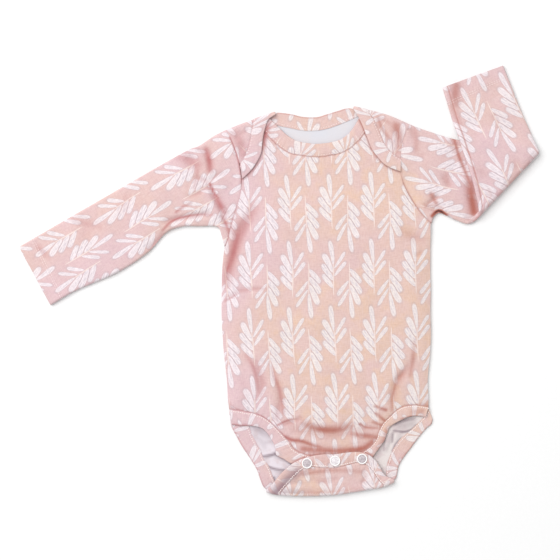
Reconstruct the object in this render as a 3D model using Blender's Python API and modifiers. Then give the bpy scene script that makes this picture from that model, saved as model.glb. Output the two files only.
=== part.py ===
"""A baby's long-sleeved bodysuit with an envelope neck, laid flat on its back, one sleeve folded over.

Frame: metres, +Z up. The garment lies on the plane Z = 0 with its neck towards +Y, and the origin is under
the middle of its outline. All sizes and tables below are in millimetres in that frame.

Each sewn piece is an open surface, its outer face, which a Solidify modifier thickens inwards. The surface
is made of rows of points between edges that it shares with its neighbours, cut back by half a seam's gap.
"""

from math import cos, exp, pi, sin, sqrt

import bmesh
import bpy
import numpy as np
from mathutils import Vector

MM = 0.001

# Cloth
WALL = 1.2  # one layer of cotton jersey
BAND = 1.8  # a binding: the same jersey, folded
SEAM_GAP = 0.3
SLEEVE_GAP = 0.6  # an armhole's seam opens this far at the outer faces, because the walls lean together below
WELD = 0.01

# Levels of the outer faces above the surface that the garment lies on
FOLD_RADIUS = 3.0  # the back panel turns over this radius at the shoulders and at the crotch
TOP = 2 * FOLD_RADIUS  # the laps and the tongue, which lie on the front
FRONT_TRIM = TOP - BAND - SEAM_GAP  # the front's bindings, under the laps and the tongue
FRONT_EDGE = 3.6  # the front panel beside its bindings
FRONT_SIDE = WALL + SEAM_GAP + WALL  # the front panel at its side seams
FRONT_CROWN = 2.7  # what the middle of the front rises above its edges
CROWN_INSET = 16.0  # how far in from an edge the crown comes up
CROWN_FROM = (-172.0, -122.0)  # Y between which it comes up above the crotch
CROWN_TO = (58.0, 106.0)  # Y between which it goes down below the neck
SIDE_INSET = 4.0  # how far in from a side seam the front comes down onto the back
SIDE_FROM = (-126.0, -112.0)  # Y between which the side seams begin above the legs
SIDE_TO = (30.0, 48.0)  # Y between which they end at the armpits
SLEEVE = 4.0  # a flattened sleeve
SLEEVE_UNDERARM = 3.2  # the sleeve at the lower end of its armhole
ARMPIT_EASE = 0.8  # the body's corner stands back this far from the sleeve, whose walls meet there
NEAR_ARMHOLE = 30.0  # how far along the sleeve its armhole still shapes it
SHOULDER_TO_UNDERARM = (0.3, 0.55)  # share of the way down a sleeve over which its height changes
ELBOW_RADIUS = 4.3  # outside of the folded sleeve at the elbow

# How finely each piece is divided
SPLINE_STEPS = 12
FOLD_STEPS = 6
BACK_COLUMNS = (3, 9, 4)  # left shoulder, neck, right shoulder
FRONT_COLUMNS = (3, 15, 4)  # under the left lap, neck, under the right lap
LEG_ROWS = 8
SIDE_ROWS = 11
ARMHOLE_ROWS = 11
TONGUE_ROWS = 4
LAP_ROWS = 3  # the rows of the armhole that a lap reaches down to
LAP_END_ROWS = 2
SLEEVE_RINGS = 20
ELBOW_RINGS = (9, 8, 8)  # forearm, fold, upper arm
EVENING_ROUNDS = 80  # how often the points inside a panel are moved to the middle of their neighbours

# The body between the side seams
#    y       left    right
BODY = (
    (-118.0, -51.2, 149.6),
    (-98.0, -52.3, 148.8),
    (-74.0, -55.0, 151.0),
    (-53.0, -56.6, 152.0),
    (-32.0, -57.4, 151.4),
    (-9.0, -57.3, 151.8),
    (12.0, -56.8, 151.3),
    (34.0, -54.6, 151.4),
)
ARMPIT_LEFT = (-54.6, 34.5)
ARMPIT_RIGHT = (152.6, 57.5)

# Seams round the armholes, from the shoulder down to the armpit
#    x       y
ARMHOLE_LEFT = (
    (-49.2, 143.7),
    (-45.4, 134.6),
    (-41.6, 124.1),
    (-39.2, 113.6),
    (-37.8, 101.6),
    (-38.0, 90.0),
    (-41.0, 78.0),
    (-45.6, 64.0),
    (-49.4, 50.0),
    (-51.2, 41.5),
    ARMPIT_LEFT,
)
ARMHOLE_RIGHT = (
    (125.9, 146.5),
    (122.9, 135.4),
    (121.7, 123.1),
    (121.6, 110.6),
    (124.2, 98.5),
    (129.6, 86.8),
    (136.8, 75.2),
    (144.6, 65.4),
    ARMPIT_RIGHT,
)

# Outside of the folds where the back turns over, from left to right
#    x       y
SHOULDER_LEFT = ((-53.1, 151.2), (-41.5, 155.8), (-30.1, 160.3), (-19.0, 165.2), (-4.1, 169.6))
SHOULDER_RIGHT = ((74.9, 175.0), (87.0, 172.2), (98.5, 169.2), (112.0, 165.0), (130.5, 156.8))
CROTCH = (
    (-12.6, -211.6),
    (-4.0, -213.6),
    (6.0, -214.9),
    (24.0, -215.4),
    (48.8, -214.8),
    (66.0, -212.9),
    (87.4, -209.3),
    (102.4, -206.8),
    (110.5, -204.4),
    (115.4, -201.6),
)
# Where the seam of the binding crosses each fold
SHOULDER_LEFT_SEAM_X = -28.0
SHOULDER_RIGHT_SEAM_X = 91.0
CROTCH_SEAM_X = (2.2, 104.0)

# Bindings, a row for each station: the bound edge that stays free, then the seam that joins it to the panel
#    free x  free y   seam x  seam y
NECK_BACK = (
    (-2.0, 168.6, -17.0, 158.7),
    (2.0, 168.4, -8.0, 158.0),
    (7.5, 167.8, 0.5, 155.4),
    (14.0, 166.8, 11.0, 153.2),
    (22.0, 164.7, 21.0, 151.1),
    (30.5, 164.0, 30.0, 150.4),
    (39.0, 164.3, 39.0, 150.8),
    (47.0, 166.7, 48.0, 152.5),
    (54.5, 169.0, 56.7, 155.3),
    (61.0, 171.0, 65.0, 158.6),
    (66.5, 172.7, 73.0, 162.0),
    (71.0, 173.0, 81.0, 165.6),
)
LAP_LEFT = (
    (-10.5, 161.5, -27.2, 152.3),
    (-13.3, 154.3, -28.4, 146.5),
    (-15.3, 147.0, -29.5, 140.5),
    (-16.7, 137.5, -31.0, 134.5),
    (-17.5, 129.0, -33.0, 128.5),
    (-21.0, 120.7, -35.3, 123.0),
    (-26.3, 112.4, -37.5, 119.7),
    (-32.7, 105.4, -38.7, 117.6),
    (-36.8, 102.3, -39.1, 116.4),
)
LAP_RIGHT = (
    (79.9, 162.7, 94.5, 162.0),
    (83.3, 155.5, 97.6, 156.0),
    (86.0, 149.0, 100.2, 150.0),
    (88.7, 142.0, 103.0, 143.2),
    (92.4, 132.7, 106.0, 136.5),
    (97.5, 125.2, 110.5, 130.8),
    (104.0, 117.8, 115.3, 126.7),
    (111.5, 113.0, 119.0, 124.0),
    (120.6, 109.2, 121.0, 122.6),
)
NECK_FRONT = (
    (-9.4, 162.6, -24.2, 157.7),
    (-4.5, 157.8, -15.0, 149.7),
    (1.2, 152.4, -7.2, 141.3),
    (8.0, 146.0, 2.0, 133.0),
    (16.0, 141.0, 10.0, 128.2),
    (25.0, 138.6, 21.0, 125.8),
    (34.4, 137.4, 32.0, 124.4),
    (43.5, 137.6, 43.0, 124.4),
    (52.0, 138.8, 53.0, 126.0),
    (60.5, 141.2, 62.0, 128.1),
    (67.0, 145.2, 70.5, 132.4),
    (72.8, 151.2, 79.0, 139.8),
    (77.7, 159.0, 86.0, 148.0),
    (81.0, 165.0, 92.0, 156.5),
    (83.5, 168.4, 96.0, 164.0),
)
LEG_FRONT = (
    (-47.5, -143.6, -49.7, -128.0),
    (-38.5, -144.8, -38.0, -129.6),
    (-28.0, -144.9, -24.0, -132.6),
    (-18.5, -146.8, -14.0, -137.0),
    (-12.5, -151.4, -5.0, -144.6),
    (-6.5, -160.5, 4.5, -154.4),
    (-3.4, -168.5, 11.0, -162.0),
    (-2.8, -174.0, 15.0, -167.5),
    (5.0, -178.3, 20.0, -171.0),
    (14.0, -183.5, 27.0, -173.5),
    (33.0, -188.2, 37.0, -174.6),
    (54.0, -188.8, 54.0, -175.0),
    (76.0, -187.6, 71.0, -173.8),
    (89.0, -183.5, 80.0, -171.8),
    (94.2, -175.5, 87.0, -169.0),
    (99.8, -167.8, 92.0, -165.4),
    (105.3, -160.0, 97.5, -158.4),
    (108.0, -153.0, 100.0, -150.5),
    (110.8, -146.4, 104.5, -142.3),
    (115.8, -142.6, 111.3, -135.5),
    (124.0, -138.4, 119.7, -127.8),
    (130.5, -135.9, 128.0, -124.6),
    (138.0, -135.0, 138.5, -124.2),
    (146.5, -136.2, 149.5, -126.0),
)
FLAP_CORNERS = (7.5, 13.8)  # the stations, counted from the left side, at the ends of the crotch edge
LEG_BACK_LEFT = (
    (-48.2, -144.6, -49.8, -130.5),
    (-46.5, -148.5, -38.5, -136.0),
    (-43.5, -154.0, -30.7, -145.0),
    (-38.0, -164.0, -27.0, -153.5),
    (-32.5, -172.5, -22.7, -162.3),
    (-27.2, -180.5, -18.6, -169.5),
    (-22.2, -189.0, -15.5, -177.5),
    (-19.0, -198.0, -9.5, -187.0),
    (-16.0, -205.5, -5.0, -199.0),
)
BAND_OF_TONGUE = (
    (-6.0, -202.0, 5.0, -207.5),
    (0.5, -194.0, 10.5, -201.5),
    (6.0, -188.5, 16.0, -195.5),
    (13.4, -182.5, 22.5, -189.3),
    (22.0, -178.0, 27.5, -186.4),
    (31.0, -175.3, 33.5, -185.8),
    (43.0, -173.2, 44.0, -186.6),
    (56.0, -173.0, 56.0, -186.6),
    (69.0, -171.3, 69.0, -183.8),
    (79.0, -170.8, 77.5, -181.6),
    (87.0, -172.3, 85.0, -183.0),
    (93.0, -175.8, 89.8, -185.6),
    (99.0, -182.5, 94.3, -191.0),
    (105.6, -193.6, 99.6, -198.9),
)
# Stations, counted from the fold, at the tongue's upper corners and at the tips of the laps
TONGUE_CORNERS = (4.5, 11.0)
LAP_TIPS = {"left": 7, "right": 8}
LEG_BACK_RIGHT = (
    (117.6, -196.8, 106.6, -197.0),
    (119.8, -186.0, 108.3, -183.5),
    (123.0, -179.5, 112.8, -171.5),
    (127.2, -173.6, 117.5, -163.5),
    (132.2, -167.2, 122.6, -157.2),
    (140.2, -156.4, 129.2, -151.8),
    (147.2, -148.2, 137.2, -144.4),
    (152.5, -143.4, 145.2, -136.0),
    (153.8, -138.8, 150.2, -128.5),
)

# Edges of the sleeves, from the cuff to the shoulder or the armpit; the right one as it is before the fold
#    x       y
SLEEVE_LEFT_UPPER = (
    (-260.0, 34.3),
    (-180.0, 80.5),
    (-99.0, 126.8),
    (-80.0, 135.2),
    (-66.1, 144.5),
    (-53.1, 151.2),
)
SLEEVE_LEFT_LOWER = (
    (-228.5, -24.2),
    (-202.5, -9.2),
    (-163.0, 8.0),
    (-132.0, 28.0),
    (-114.0, 47.5),
    (-98.4, 54.2),
    (-80.0, 54.8),
    (-62.0, 54.2),
    (-57.5, 45.5),
    ARMPIT_LEFT,
)
SLEEVE_RIGHT_UPPER = (
    (350.2, 96.6),
    (305.5, 111.6),
    (260.0, 127.6),
    (215.0, 136.0),
    (176.0, 142.0),
    (146.0, 151.0),
    (130.5, 156.8),
)
SLEEVE_RIGHT_LOWER = (
    (331.5, 34.6),
    (290.0, 44.8),
    (250.0, 55.5),
    (225.0, 61.2),
    (203.0, 63.4),
    (190.0, 57.2),
    (177.0, 61.0),
    (168.5, 65.0),
    (160.4, 68.0),
    (155.0, 64.0),
    ARMPIT_RIGHT,
)
# The elbow's fold as it shows from above: its two ends
ELBOW = ((203.0, 67.0), (259.8, 127.0))
FOREARM_DROP = 18.0  # past the upper arm's edge, the forearm comes down to the surface over this length

# Largest folds of the cloth, each along a straight run: a rise is a ridge, and a fall is a trough
#    x start, y start, x end, y end, width, rise
FRONT_FOLDS = (
    (-25.0, 76.0, -38.0, 45.0, 7.0, -1.6),
    (-39.0, 42.0, -49.0, 14.0, 6.5, -1.5),
    (-47.0, -10.0, -19.0, -9.5, 3.5, -0.9),
    (-26.0, -80.0, -20.0, -118.0, 7.0, -1.5),
    (-3.0, -99.0, 1.5, -119.0, 5.0, -1.4),
    (2.0, -143.0, 23.0, -137.0, 3.5, -1.2),
    (15.0, -152.0, 88.0, -149.0, 6.5, -1.1),
    (131.0, -86.0, 114.0, -121.0, 6.5, -1.7),
    (83.0, -144.0, 100.0, -147.0, 3.0, -0.6),
    (-12.0, 40.0, -18.0, -60.0, 16.0, 0.8),
    (134.0, 30.0, 132.0, -60.0, 12.0, 0.7),
)
SLEEVE_LEFT_FOLDS = (
    (-88.0, 121.0, -70.0, 126.0, 6.0, -1.5),
    (-68.0, 114.0, -73.0, 103.0, 4.5, -1.6),
    (-70.0, 96.0, -57.0, 72.0, 4.5, -1.6),
    (-106.0, 62.0, -66.0, 68.0, 5.0, -1.3),
    (-116.0, 44.0, -132.0, 32.0, 4.5, -1.0),
    (-64.0, 104.0, -52.0, 92.0, 9.0, 0.9),
)
SLEEVE_RIGHT_FOLDS = (
    (147.0, 72.0, 159.0, 77.0, 4.0, -1.2),
    (166.0, 103.0, 170.0, 97.0, 4.5, -1.2),
    (187.0, 96.0, 198.0, 72.0, 6.0, -1.0),
    (140.0, 118.0, 150.0, 100.0, 12.0, 0.8),
)

# How far the upper side of a sleeve is crowned, along X; the forearm's is given where it lies before the fold
#    x       rise
CROWN_LEFT = ((-240.0, 0.0), (-190.0, 1.2), (-100.0, 2.0), (-70.0, 1.6), (-45.0, 0.0))
CROWN_UPPER_ARM = ((130.0, 0.0), (148.0, 1.2), (160.0, 0.8), (174.0, 0.0))
CROWN_FOREARM = ((215.0, 0.0), (250.0, 1.0), (310.0, 1.0), (345.0, 0.0))

# Ring snaps on the tongue's band, a raised rim round a domed middle
#    name           x      y
SNAPS = (("snap_left", 28.0, -182.0), ("snap_centre", 56.0, -179.5), ("snap_right", 83.0, -177.6))
#    radius  height, from the middle of the dome outwards and down
SNAP_PROFILE = (
    (0.0, 1.35),
    (2.2, 1.15),
    (3.5, 0.55),
    (4.0, 1.15),
    (4.6, 1.4),
    (5.15, 1.05),
    (5.25, 0.0),
    (0.0, 0.0),
)
SNAP_SIDES = 24

PINK = (0.85, 0.59, 0.53, 1.0)
PLASTIC = (0.9, 0.89, 0.88, 1.0)


def spline(points):
    """A dense line of points on a smooth curve (Catmull-Rom) through the given ones."""
    given = np.array(points, float)
    padded = np.vstack([2 * given[0] - given[1], given, 2 * given[-1] - given[-2]])
    t = np.linspace(0, 1, SPLINE_STEPS, endpoint=False)[:, None]
    pieces = []
    for a, b, c, d in zip(padded, padded[1:], padded[2:], padded[3:]):
        pieces.append(b + 0.5 * t * (c - a + t * (2 * a - 5 * b + 4 * c - d + t * (3 * b - a - 3 * c + d))))
    return np.vstack([*pieces, given[-1:]])


def lengths(line):
    """How far along a line each point is, measured on its last two columns."""
    steps = np.diff(line[:, -2:], axis=0)
    return np.concatenate([[0.0], np.cumsum(np.linalg.norm(steps, axis=1))])


def read(line, places, measure):
    """Rows of a line at places on a measure that grows along it."""
    return np.column_stack([np.interp(places, measure, column) for column in line.T])


def evenly(line, count):
    """A line divided into count stretches of one length."""
    measure = lengths(line)
    return read(line, np.linspace(0, measure[-1], count + 1), measure)


def divided(line, stations, counts):
    """A spline divided at some of its stations, and each stretch then divided evenly."""
    marks = [0, *(round(station * SPLINE_STEPS) for station in stations), len(line) - 1]
    parts = [evenly(line[a : b + 1], count) for a, b, count in zip(marks, marks[1:], counts)]
    return np.vstack([parts[0], *(part[1:] for part in parts[1:])])


def smooth_step(value, start, end):
    """0 up to start, 1 from end on, and a soft rise between them."""
    t = min(max((value - start) / (end - start), 0.0), 1.0)
    return t * t * (3 - 2 * t)


def relief(folds, x, y):
    """Height that the folds of a table add at a point of the plan."""
    total = 0.0
    for x0, y0, x1, y1, width, rise in folds:
        across, up = x1 - x0, y1 - y0
        t = ((x - x0) * across + (y - y0) * up) / (across**2 + up**2)
        t = min(max(t, 0.0), 1.0)
        away = (x - x0 - t * across) ** 2 + (y - y0 - t * up) ** 2
        total += rise * exp(-away / width**2)
    return total


def raised(plan, height):
    """Plan points, all brought to one height."""
    plan = np.asarray(plan, float)
    return np.concatenate([plan, np.full(plan.shape[:-1] + (1,), float(height))], axis=-1)


class Fold:
    """A place where the back panel turns over, given by the outside of the turn from left to right."""

    def __init__(self, outline, side):
        self.line = spline(outline)
        run = self.line[-1] - self.line[0]
        self.out = side * np.array((-run[1], run[0])) / np.linalg.norm(run)

    def base(self, x):
        """Where the turn starts, on the surface below, for points of the outline at x."""
        return read(self.line, np.atleast_1d(x), self.line[:, 0]) - FOLD_RADIUS * self.out

    def crossing(self, free_x, seam_x):
        """The station of a binding that crosses the fold."""
        return np.concatenate([self.base(free_x)[0], self.base(seam_x)[0]])

    def turn(self, base):
        """Rows of points over the turn, from the lower level to the upper one."""
        rows = []
        for angle in np.linspace(0, pi, FOLD_STEPS + 1):
            plan = base + FOLD_RADIUS * sin(angle) * self.out
            rows.append(raised(plan, FOLD_RADIUS * (1 - cos(angle))))
        return np.array(rows)


class Armhole:
    """The seam round an armhole, from the shoulder's outline to the armpit, with the places of its points."""

    def __init__(self, points, fold, end):
        outline = fold.line[end]
        self.line = np.vstack([outline, spline([outline - FOLD_RADIUS * fold.out, *points])])
        self.measure = lengths(self.line)
        last = self.measure[-1]
        self.places = np.linspace(FOLD_RADIUS, last - SLEEVE_UNDERARM / 2, ARMHOLE_ROWS + 1)
        self.points = self.at([*self.places[:-1], last])
        self.points[-1, 0] += ARMPIT_EASE if end == 0 else -ARMPIT_EASE

    def at(self, places):
        return read(self.line, places, self.measure)


def between(left, right, bottom, top):
    """Rows of plan points filling four edges: left and right run from bottom to top, as many points each."""
    u = np.linspace(0, 1, len(bottom))[None, :, None]
    rows = (1 - u) * left[:, None] + u * right[:, None]
    rows[0], rows[-1] = bottom, top
    for _ in range(EVENING_ROUNDS):
        beside = rows[1:-1, :-2] + rows[1:-1, 2:]
        rows[1:-1, 1:-1] = (rows[:-2, 1:-1] + rows[2:, 1:-1] + beside) / 4
    return rows


def strip(stations, height):
    """Rows across a binding at one height: its free edge, its middle and its seam."""
    free, seam = stations[:, :2], stations[:, 2:]
    return raised(np.stack([free, (free + seam) / 2, seam], axis=1), height)


def turned_strip(fold, station):
    """A binding's rows over a fold."""
    free, seam = station[:2], station[2:]
    return fold.turn(np.array([free, (free + seam) / 2, seam]))


def add_rows(surface, rows, closed):
    """Adds the faces between neighbouring rows of points."""
    grid = [[surface.verts.new(Vector(point) * MM) for point in row] for row in rows]
    for row, following in zip(grid, grid[1:]):
        for i in range(len(row) - (not closed)):
            j = (i + 1) % len(row)
            surface.faces.new((row[i], row[j], following[j], following[i]))


def cut_back(surface, width):
    """Moves the open edges of a surface inwards along it."""
    moves = {}
    for vert in surface.verts:
        inwards = []
        for edge in vert.link_edges:
            if edge.is_boundary:
                along = (edge.verts[1].co - edge.verts[0].co).normalized()
                to_face = edge.link_faces[0].calc_center_median() - vert.co
                inwards.append((to_face - to_face.dot(along) * along).normalized())
        if inwards:
            first, second = inwards
            moves[vert] = (first + second) * width / (1 + first.dot(second))
    for vert, move in moves.items():
        vert.co += move


def add_material(piece, colour, roughness):
    material = bpy.data.materials.new(piece.name)
    material.use_nodes = True
    shader = material.node_tree.nodes["Principled BSDF"]
    shader.inputs["Base Color"].default_value = colour
    shader.inputs["Roughness"].default_value = roughness
    shader.inputs["Metallic"].default_value = 0.0
    piece.data.materials.append(material)


def sew(name, blocks, wall, facing, closed=False, gap=SEAM_GAP):
    """Makes one piece from blocks of rows that meet. Its first face looks up or down, as facing says."""
    surface = bmesh.new()
    for rows in blocks:
        add_rows(surface, rows, closed)
    bmesh.ops.remove_doubles(surface, verts=surface.verts, dist=WELD * MM)
    bmesh.ops.recalc_face_normals(surface, faces=surface.faces)
    surface.faces.ensure_lookup_table()
    if surface.faces[0].normal.z * facing < 0:
        bmesh.ops.reverse_faces(surface, faces=surface.faces)
    cut_back(surface, gap / 2 * MM)
    piece = bpy.data.objects.new(name, bpy.data.meshes.new(name))
    surface.to_mesh(piece.data)
    surface.free()
    piece.data.shade_smooth()
    garment.objects.link(piece)
    add_material(piece, PINK, 0.9)
    thickness = piece.modifiers.new("wall", "SOLIDIFY")
    thickness.thickness = wall * MM
    thickness.offset = -1.0
    thickness.use_even_offset = True


def body_edge(leg, column, armhole):
    """One side of a body panel, upwards: the leg's seam, the side seam and the armhole."""
    side = spline([(row[column], row[0]) for row in BODY])
    side = evenly(np.vstack([side, armhole.points[-1]]), SIDE_ROWS)
    return np.vstack([leg, side, armhole.points[-2::-1]])


def front_height(x, y, edge):
    """Outer face of the front: low at the side seams, crowned in the middle, and folded."""
    inset = np.linalg.norm(edge - (x, y), axis=1).min()
    crown = smooth_step(y, *CROWN_FROM) * (1 - smooth_step(y, *CROWN_TO)) * (1 - exp(-inset / CROWN_INSET))
    at_side = smooth_step(y, *SIDE_FROM) * (1 - smooth_step(y, *SIDE_TO)) * exp(-inset / SIDE_INSET)
    height = FRONT_EDGE + (FRONT_CROWN + relief(FRONT_FOLDS, x, y)) * crown
    return max(height - (FRONT_EDGE - FRONT_SIDE) * at_side, FRONT_SIDE)


def sew_front(armhole_left, armhole_right):
    """The front panel with its two bindings."""
    columns = sum(FRONT_COLUMNS)
    neck = evenly(spline(NECK_FRONT), FRONT_COLUMNS[1])
    legs = divided(spline(LEG_FRONT), FLAP_CORNERS, (LEG_ROWS, columns, LEG_ROWS))
    seam = legs[:, 2:]
    left = body_edge(seam[LEG_ROWS::-1], 1, armhole_left)
    right = body_edge(seam[-LEG_ROWS - 1 :], 2, armhole_right)
    under_left = evenly(np.array([left[-1], neck[0, 2:]]), FRONT_COLUMNS[0])
    under_right = evenly(np.array([neck[-1, 2:], right[-1]]), FRONT_COLUMNS[2])
    top = np.vstack([under_left[:-1], neck[:, 2:], under_right[1:]])
    edge = np.vstack([spline(LEG_FRONT)[:, 2:], spline(left), spline(right)])
    rows = []
    for plan in between(left, right, seam[LEG_ROWS:-LEG_ROWS], top):
        rows.append([(x, y, front_height(x, y, edge)) for x, y in plan])
    sew("front_panel", [rows], WALL, 1)
    sew("neck_binding_front", [strip(neck, FRONT_TRIM)], BAND, 1)
    sew("leg_binding_front", [strip(legs, FRONT_TRIM)], BAND, 1)


def lap(table, side, crossing, base, armhole):
    """A shoulder lap: its rows from the fold down to its tip, and its binding's stations."""
    band = divided(spline([crossing, *table]), [LAP_TIPS[side]], (LAP_ROWS, LAP_END_ROWS))
    edges = [armhole.points[: LAP_ROWS + 1], band[: LAP_ROWS + 1, 2:]]
    if side == "right":
        edges.reverse()
    tip = np.linspace(edges[0][-1], edges[1][-1], len(base))
    return raised(between(*edges, base, tip), TOP), band


def sew_back(shoulder_left, shoulder_right, crotch, armhole_left, armhole_right):
    """The back panel, with its laps and its tongue turned over, and its two bindings."""
    columns = sum(BACK_COLUMNS)
    neck_left = shoulder_left.crossing(SHOULDER_LEFT[-1][0], SHOULDER_LEFT_SEAM_X)
    neck_right = shoulder_right.crossing(SHOULDER_RIGHT[0][0], SHOULDER_RIGHT_SEAM_X)
    leg_left = crotch.crossing(CROTCH[0][0], CROTCH_SEAM_X[0])
    leg_right = crotch.crossing(CROTCH[-1][0], CROTCH_SEAM_X[1])

    neck = evenly(spline([neck_left, *NECK_BACK, neck_right]), BACK_COLUMNS[1])
    opening_left = evenly(spline([*LEG_BACK_LEFT, leg_left]), LEG_ROWS)
    opening_right = evenly(spline([leg_right, *LEG_BACK_RIGHT]), LEG_ROWS)
    band = spline([leg_left, *BAND_OF_TONGUE, leg_right])
    band = divided(band, TONGUE_CORNERS, (TONGUE_ROWS, columns, TONGUE_ROWS))

    base_left = np.linspace(SHOULDER_LEFT[0][0], SHOULDER_LEFT_SEAM_X, BACK_COLUMNS[0] + 1)
    base_left = shoulder_left.base(base_left)
    base_right = np.linspace(SHOULDER_RIGHT_SEAM_X, SHOULDER_RIGHT[-1][0], BACK_COLUMNS[2] + 1)
    base_right = shoulder_right.base(base_right)
    base_crotch = crotch.base(np.linspace(*CROTCH_SEAM_X, columns + 1))

    left = body_edge(opening_left[::-1, 2:], 1, armhole_left)
    right = body_edge(opening_right[:, 2:], 2, armhole_right)
    top = np.vstack([base_left[:-1], neck[:, 2:], base_right[1:]])
    body = raised(between(left, right, base_crotch, top), 0)
    seam = band[:, 2:]
    tongue_sides = seam[: TONGUE_ROWS + 1], seam[: -TONGUE_ROWS - 2 : -1]
    tongue = between(*tongue_sides, base_crotch, seam[TONGUE_ROWS:-TONGUE_ROWS])
    lap_left, edge_left = lap(LAP_LEFT, "left", neck_left, base_left, armhole_left)
    lap_right, edge_right = lap(LAP_RIGHT, "right", neck_right, base_right, armhole_right)

    panel = [body, crotch.turn(base_crotch), raised(tongue, TOP)]
    panel += [shoulder_left.turn(base_left), lap_left, shoulder_right.turn(base_right), lap_right]
    sew("back_panel", panel, WALL, -1)

    neck_band = [strip(neck, 0), turned_strip(shoulder_left, neck_left), strip(edge_left, TOP)]
    neck_band += [turned_strip(shoulder_right, neck_right), strip(edge_right, TOP)]
    sew("neck_binding_back", neck_band, BAND, -1)

    leg_band = [strip(opening_left, 0), turned_strip(crotch, leg_left), strip(band, TOP)]
    leg_band += [turned_strip(crotch, leg_right), strip(opening_right, 0)]
    sew("leg_binding_back", leg_band, BAND, -1)


def sleeve_ring(upper, lower, armhole, folds, crown, forearm):
    """One ring round a sleeve that lies flat, between a point of its upper and one of its lower edge."""
    middle = (armhole.line[0] + armhole.line[-1]) / 2
    near = max(0.0, 1 - np.linalg.norm((upper + lower) / 2 - middle) / NEAR_ARMHOLE) ** 2
    radii = (SLEEVE + (TOP - SLEEVE) * near) / 2, (SLEEVE + (SLEEVE_UNDERARM - SLEEVE) * near) / 2
    around = armhole.measure[-1]
    width = around if near == 1 else np.linalg.norm(lower - upper)
    shares = (armhole.places - FOLD_RADIUS) / (armhole.places[-1] - FOLD_RADIUS)
    inner = radii[0] + shares * (width - sum(radii))
    edge = 1 - sqrt(0.5)
    top, bottom = [], []
    for place in [0, edge * radii[0], *inner, width - edge * radii[1], width]:
        u = place / width
        cap = armhole.at([u * around])[0] - armhole.line[0] - u * (armhole.line[-1] - armhole.line[0])
        x, y = upper + u * (lower - upper) + near * cap
        radius = radii[0] if u < 0.5 else radii[1]
        inset = min(place, width - place, radius) / radius
        open_share = sqrt(1 - (1 - inset) ** 2)
        height = 2 * (radii[0] + (radii[1] - radii[0]) * smooth_step(u, *SHOULDER_TO_UNDERARM))
        rise = np.interp(x, *np.transpose(crown)) * sin(pi * u)
        if forearm:
            top.append((x, y, radius + (height - radius) * open_share))
            bottom.append((x, y, radius * (1 - open_share) - rise))
        else:
            height = max(height + rise + relief(folds, x, y) * inset, 2 * WALL + SEAM_GAP)
            top.append((x, y, radius + (height - radius) * open_share))
            bottom.append((x, y, radius * (1 - open_share)))
    return np.array(top + bottom[-2:0:-1])


def sew_sleeve_left(armhole):
    """The left sleeve, stretched out on the surface, from its cuff to its armhole."""
    uppers = evenly(spline(SLEEVE_LEFT_UPPER), SLEEVE_RINGS)
    lowers = evenly(spline(SLEEVE_LEFT_LOWER), SLEEVE_RINGS)
    rings = []
    for upper, lower in zip(uppers, lowers):
        rings.append(sleeve_ring(upper, lower, armhole, SLEEVE_LEFT_FOLDS, CROWN_LEFT, False))
    sew("sleeve_left", [rings], WALL, 1, closed=True, gap=SLEEVE_GAP)


class Elbow:
    """The fold of the right sleeve, whose forearm turns over onto the upper arm and past its upper edge."""

    def __init__(self, upper_edge):
        self.upper_edge = upper_edge
        self.low, high = np.array(ELBOW)
        along = (high - self.low) / np.linalg.norm(high - self.low)
        self.out = np.array((along[1], -along[0]))

    def past(self, points):
        """How far points lie past the start of the turn, towards the cuff."""
        return (points - self.low) @ self.out + ELBOW_RADIUS

    def divide(self, line):
        """An edge from cuff to armhole, divided on the forearm, over the turn and on the upper arm."""
        past = -self.past(line)
        turn = -np.linspace(2 * ELBOW_RADIUS, 0, ELBOW_RINGS[1] + 1)
        start, *middle, end = read(line, turn, past)
        forearm = evenly(np.vstack([line[past < turn[0]], start]), ELBOW_RINGS[0])
        upper_arm = evenly(np.vstack([end, line[past > turn[-1]]]), ELBOW_RINGS[2])
        return np.vstack([forearm, middle, upper_arm])

    def fold(self, points):
        """Points of the sleeve as it lies flat, turned over with the forearm."""
        folded = []
        for x, y, z in points:
            past = self.past(np.array((x, y)))
            if past > 0:
                turn = min(past, 2 * ELBOW_RADIUS)
                angle = pi * turn / (2 * ELBOW_RADIUS)
                reach = (ELBOW_RADIUS - z) * sin(angle) - (past - turn)
                x, y = (x, y) + (reach - past) * self.out
                z = ELBOW_RADIUS - (ELBOW_RADIUS - z) * cos(angle)
                beyond = y - np.interp(-x, -self.upper_edge[:, 0], self.upper_edge[:, 1])
                z -= (2 * ELBOW_RADIUS - SLEEVE) * smooth_step(beyond, 0, FOREARM_DROP)
            folded.append((x, y, z))
        return folded


def sew_sleeve_right(armhole):
    """The right sleeve, its forearm folded over at the elbow and coming down beside the upper arm."""
    upper_edge = spline(SLEEVE_RIGHT_UPPER)
    elbow = Elbow(upper_edge)
    uppers = elbow.divide(upper_edge)
    lowers = elbow.divide(spline(SLEEVE_RIGHT_LOWER))
    rings = []
    for i, (upper, lower) in enumerate(zip(uppers, lowers)):
        forearm = i < ELBOW_RINGS[0]
        crown = CROWN_FOREARM if forearm else CROWN_UPPER_ARM
        ring = sleeve_ring(upper, lower, armhole, SLEEVE_RIGHT_FOLDS, crown, forearm)
        rings.append(elbow.fold(ring))
    sew("sleeve_right", [rings], WALL, -1, closed=True, gap=SLEEVE_GAP)


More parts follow.
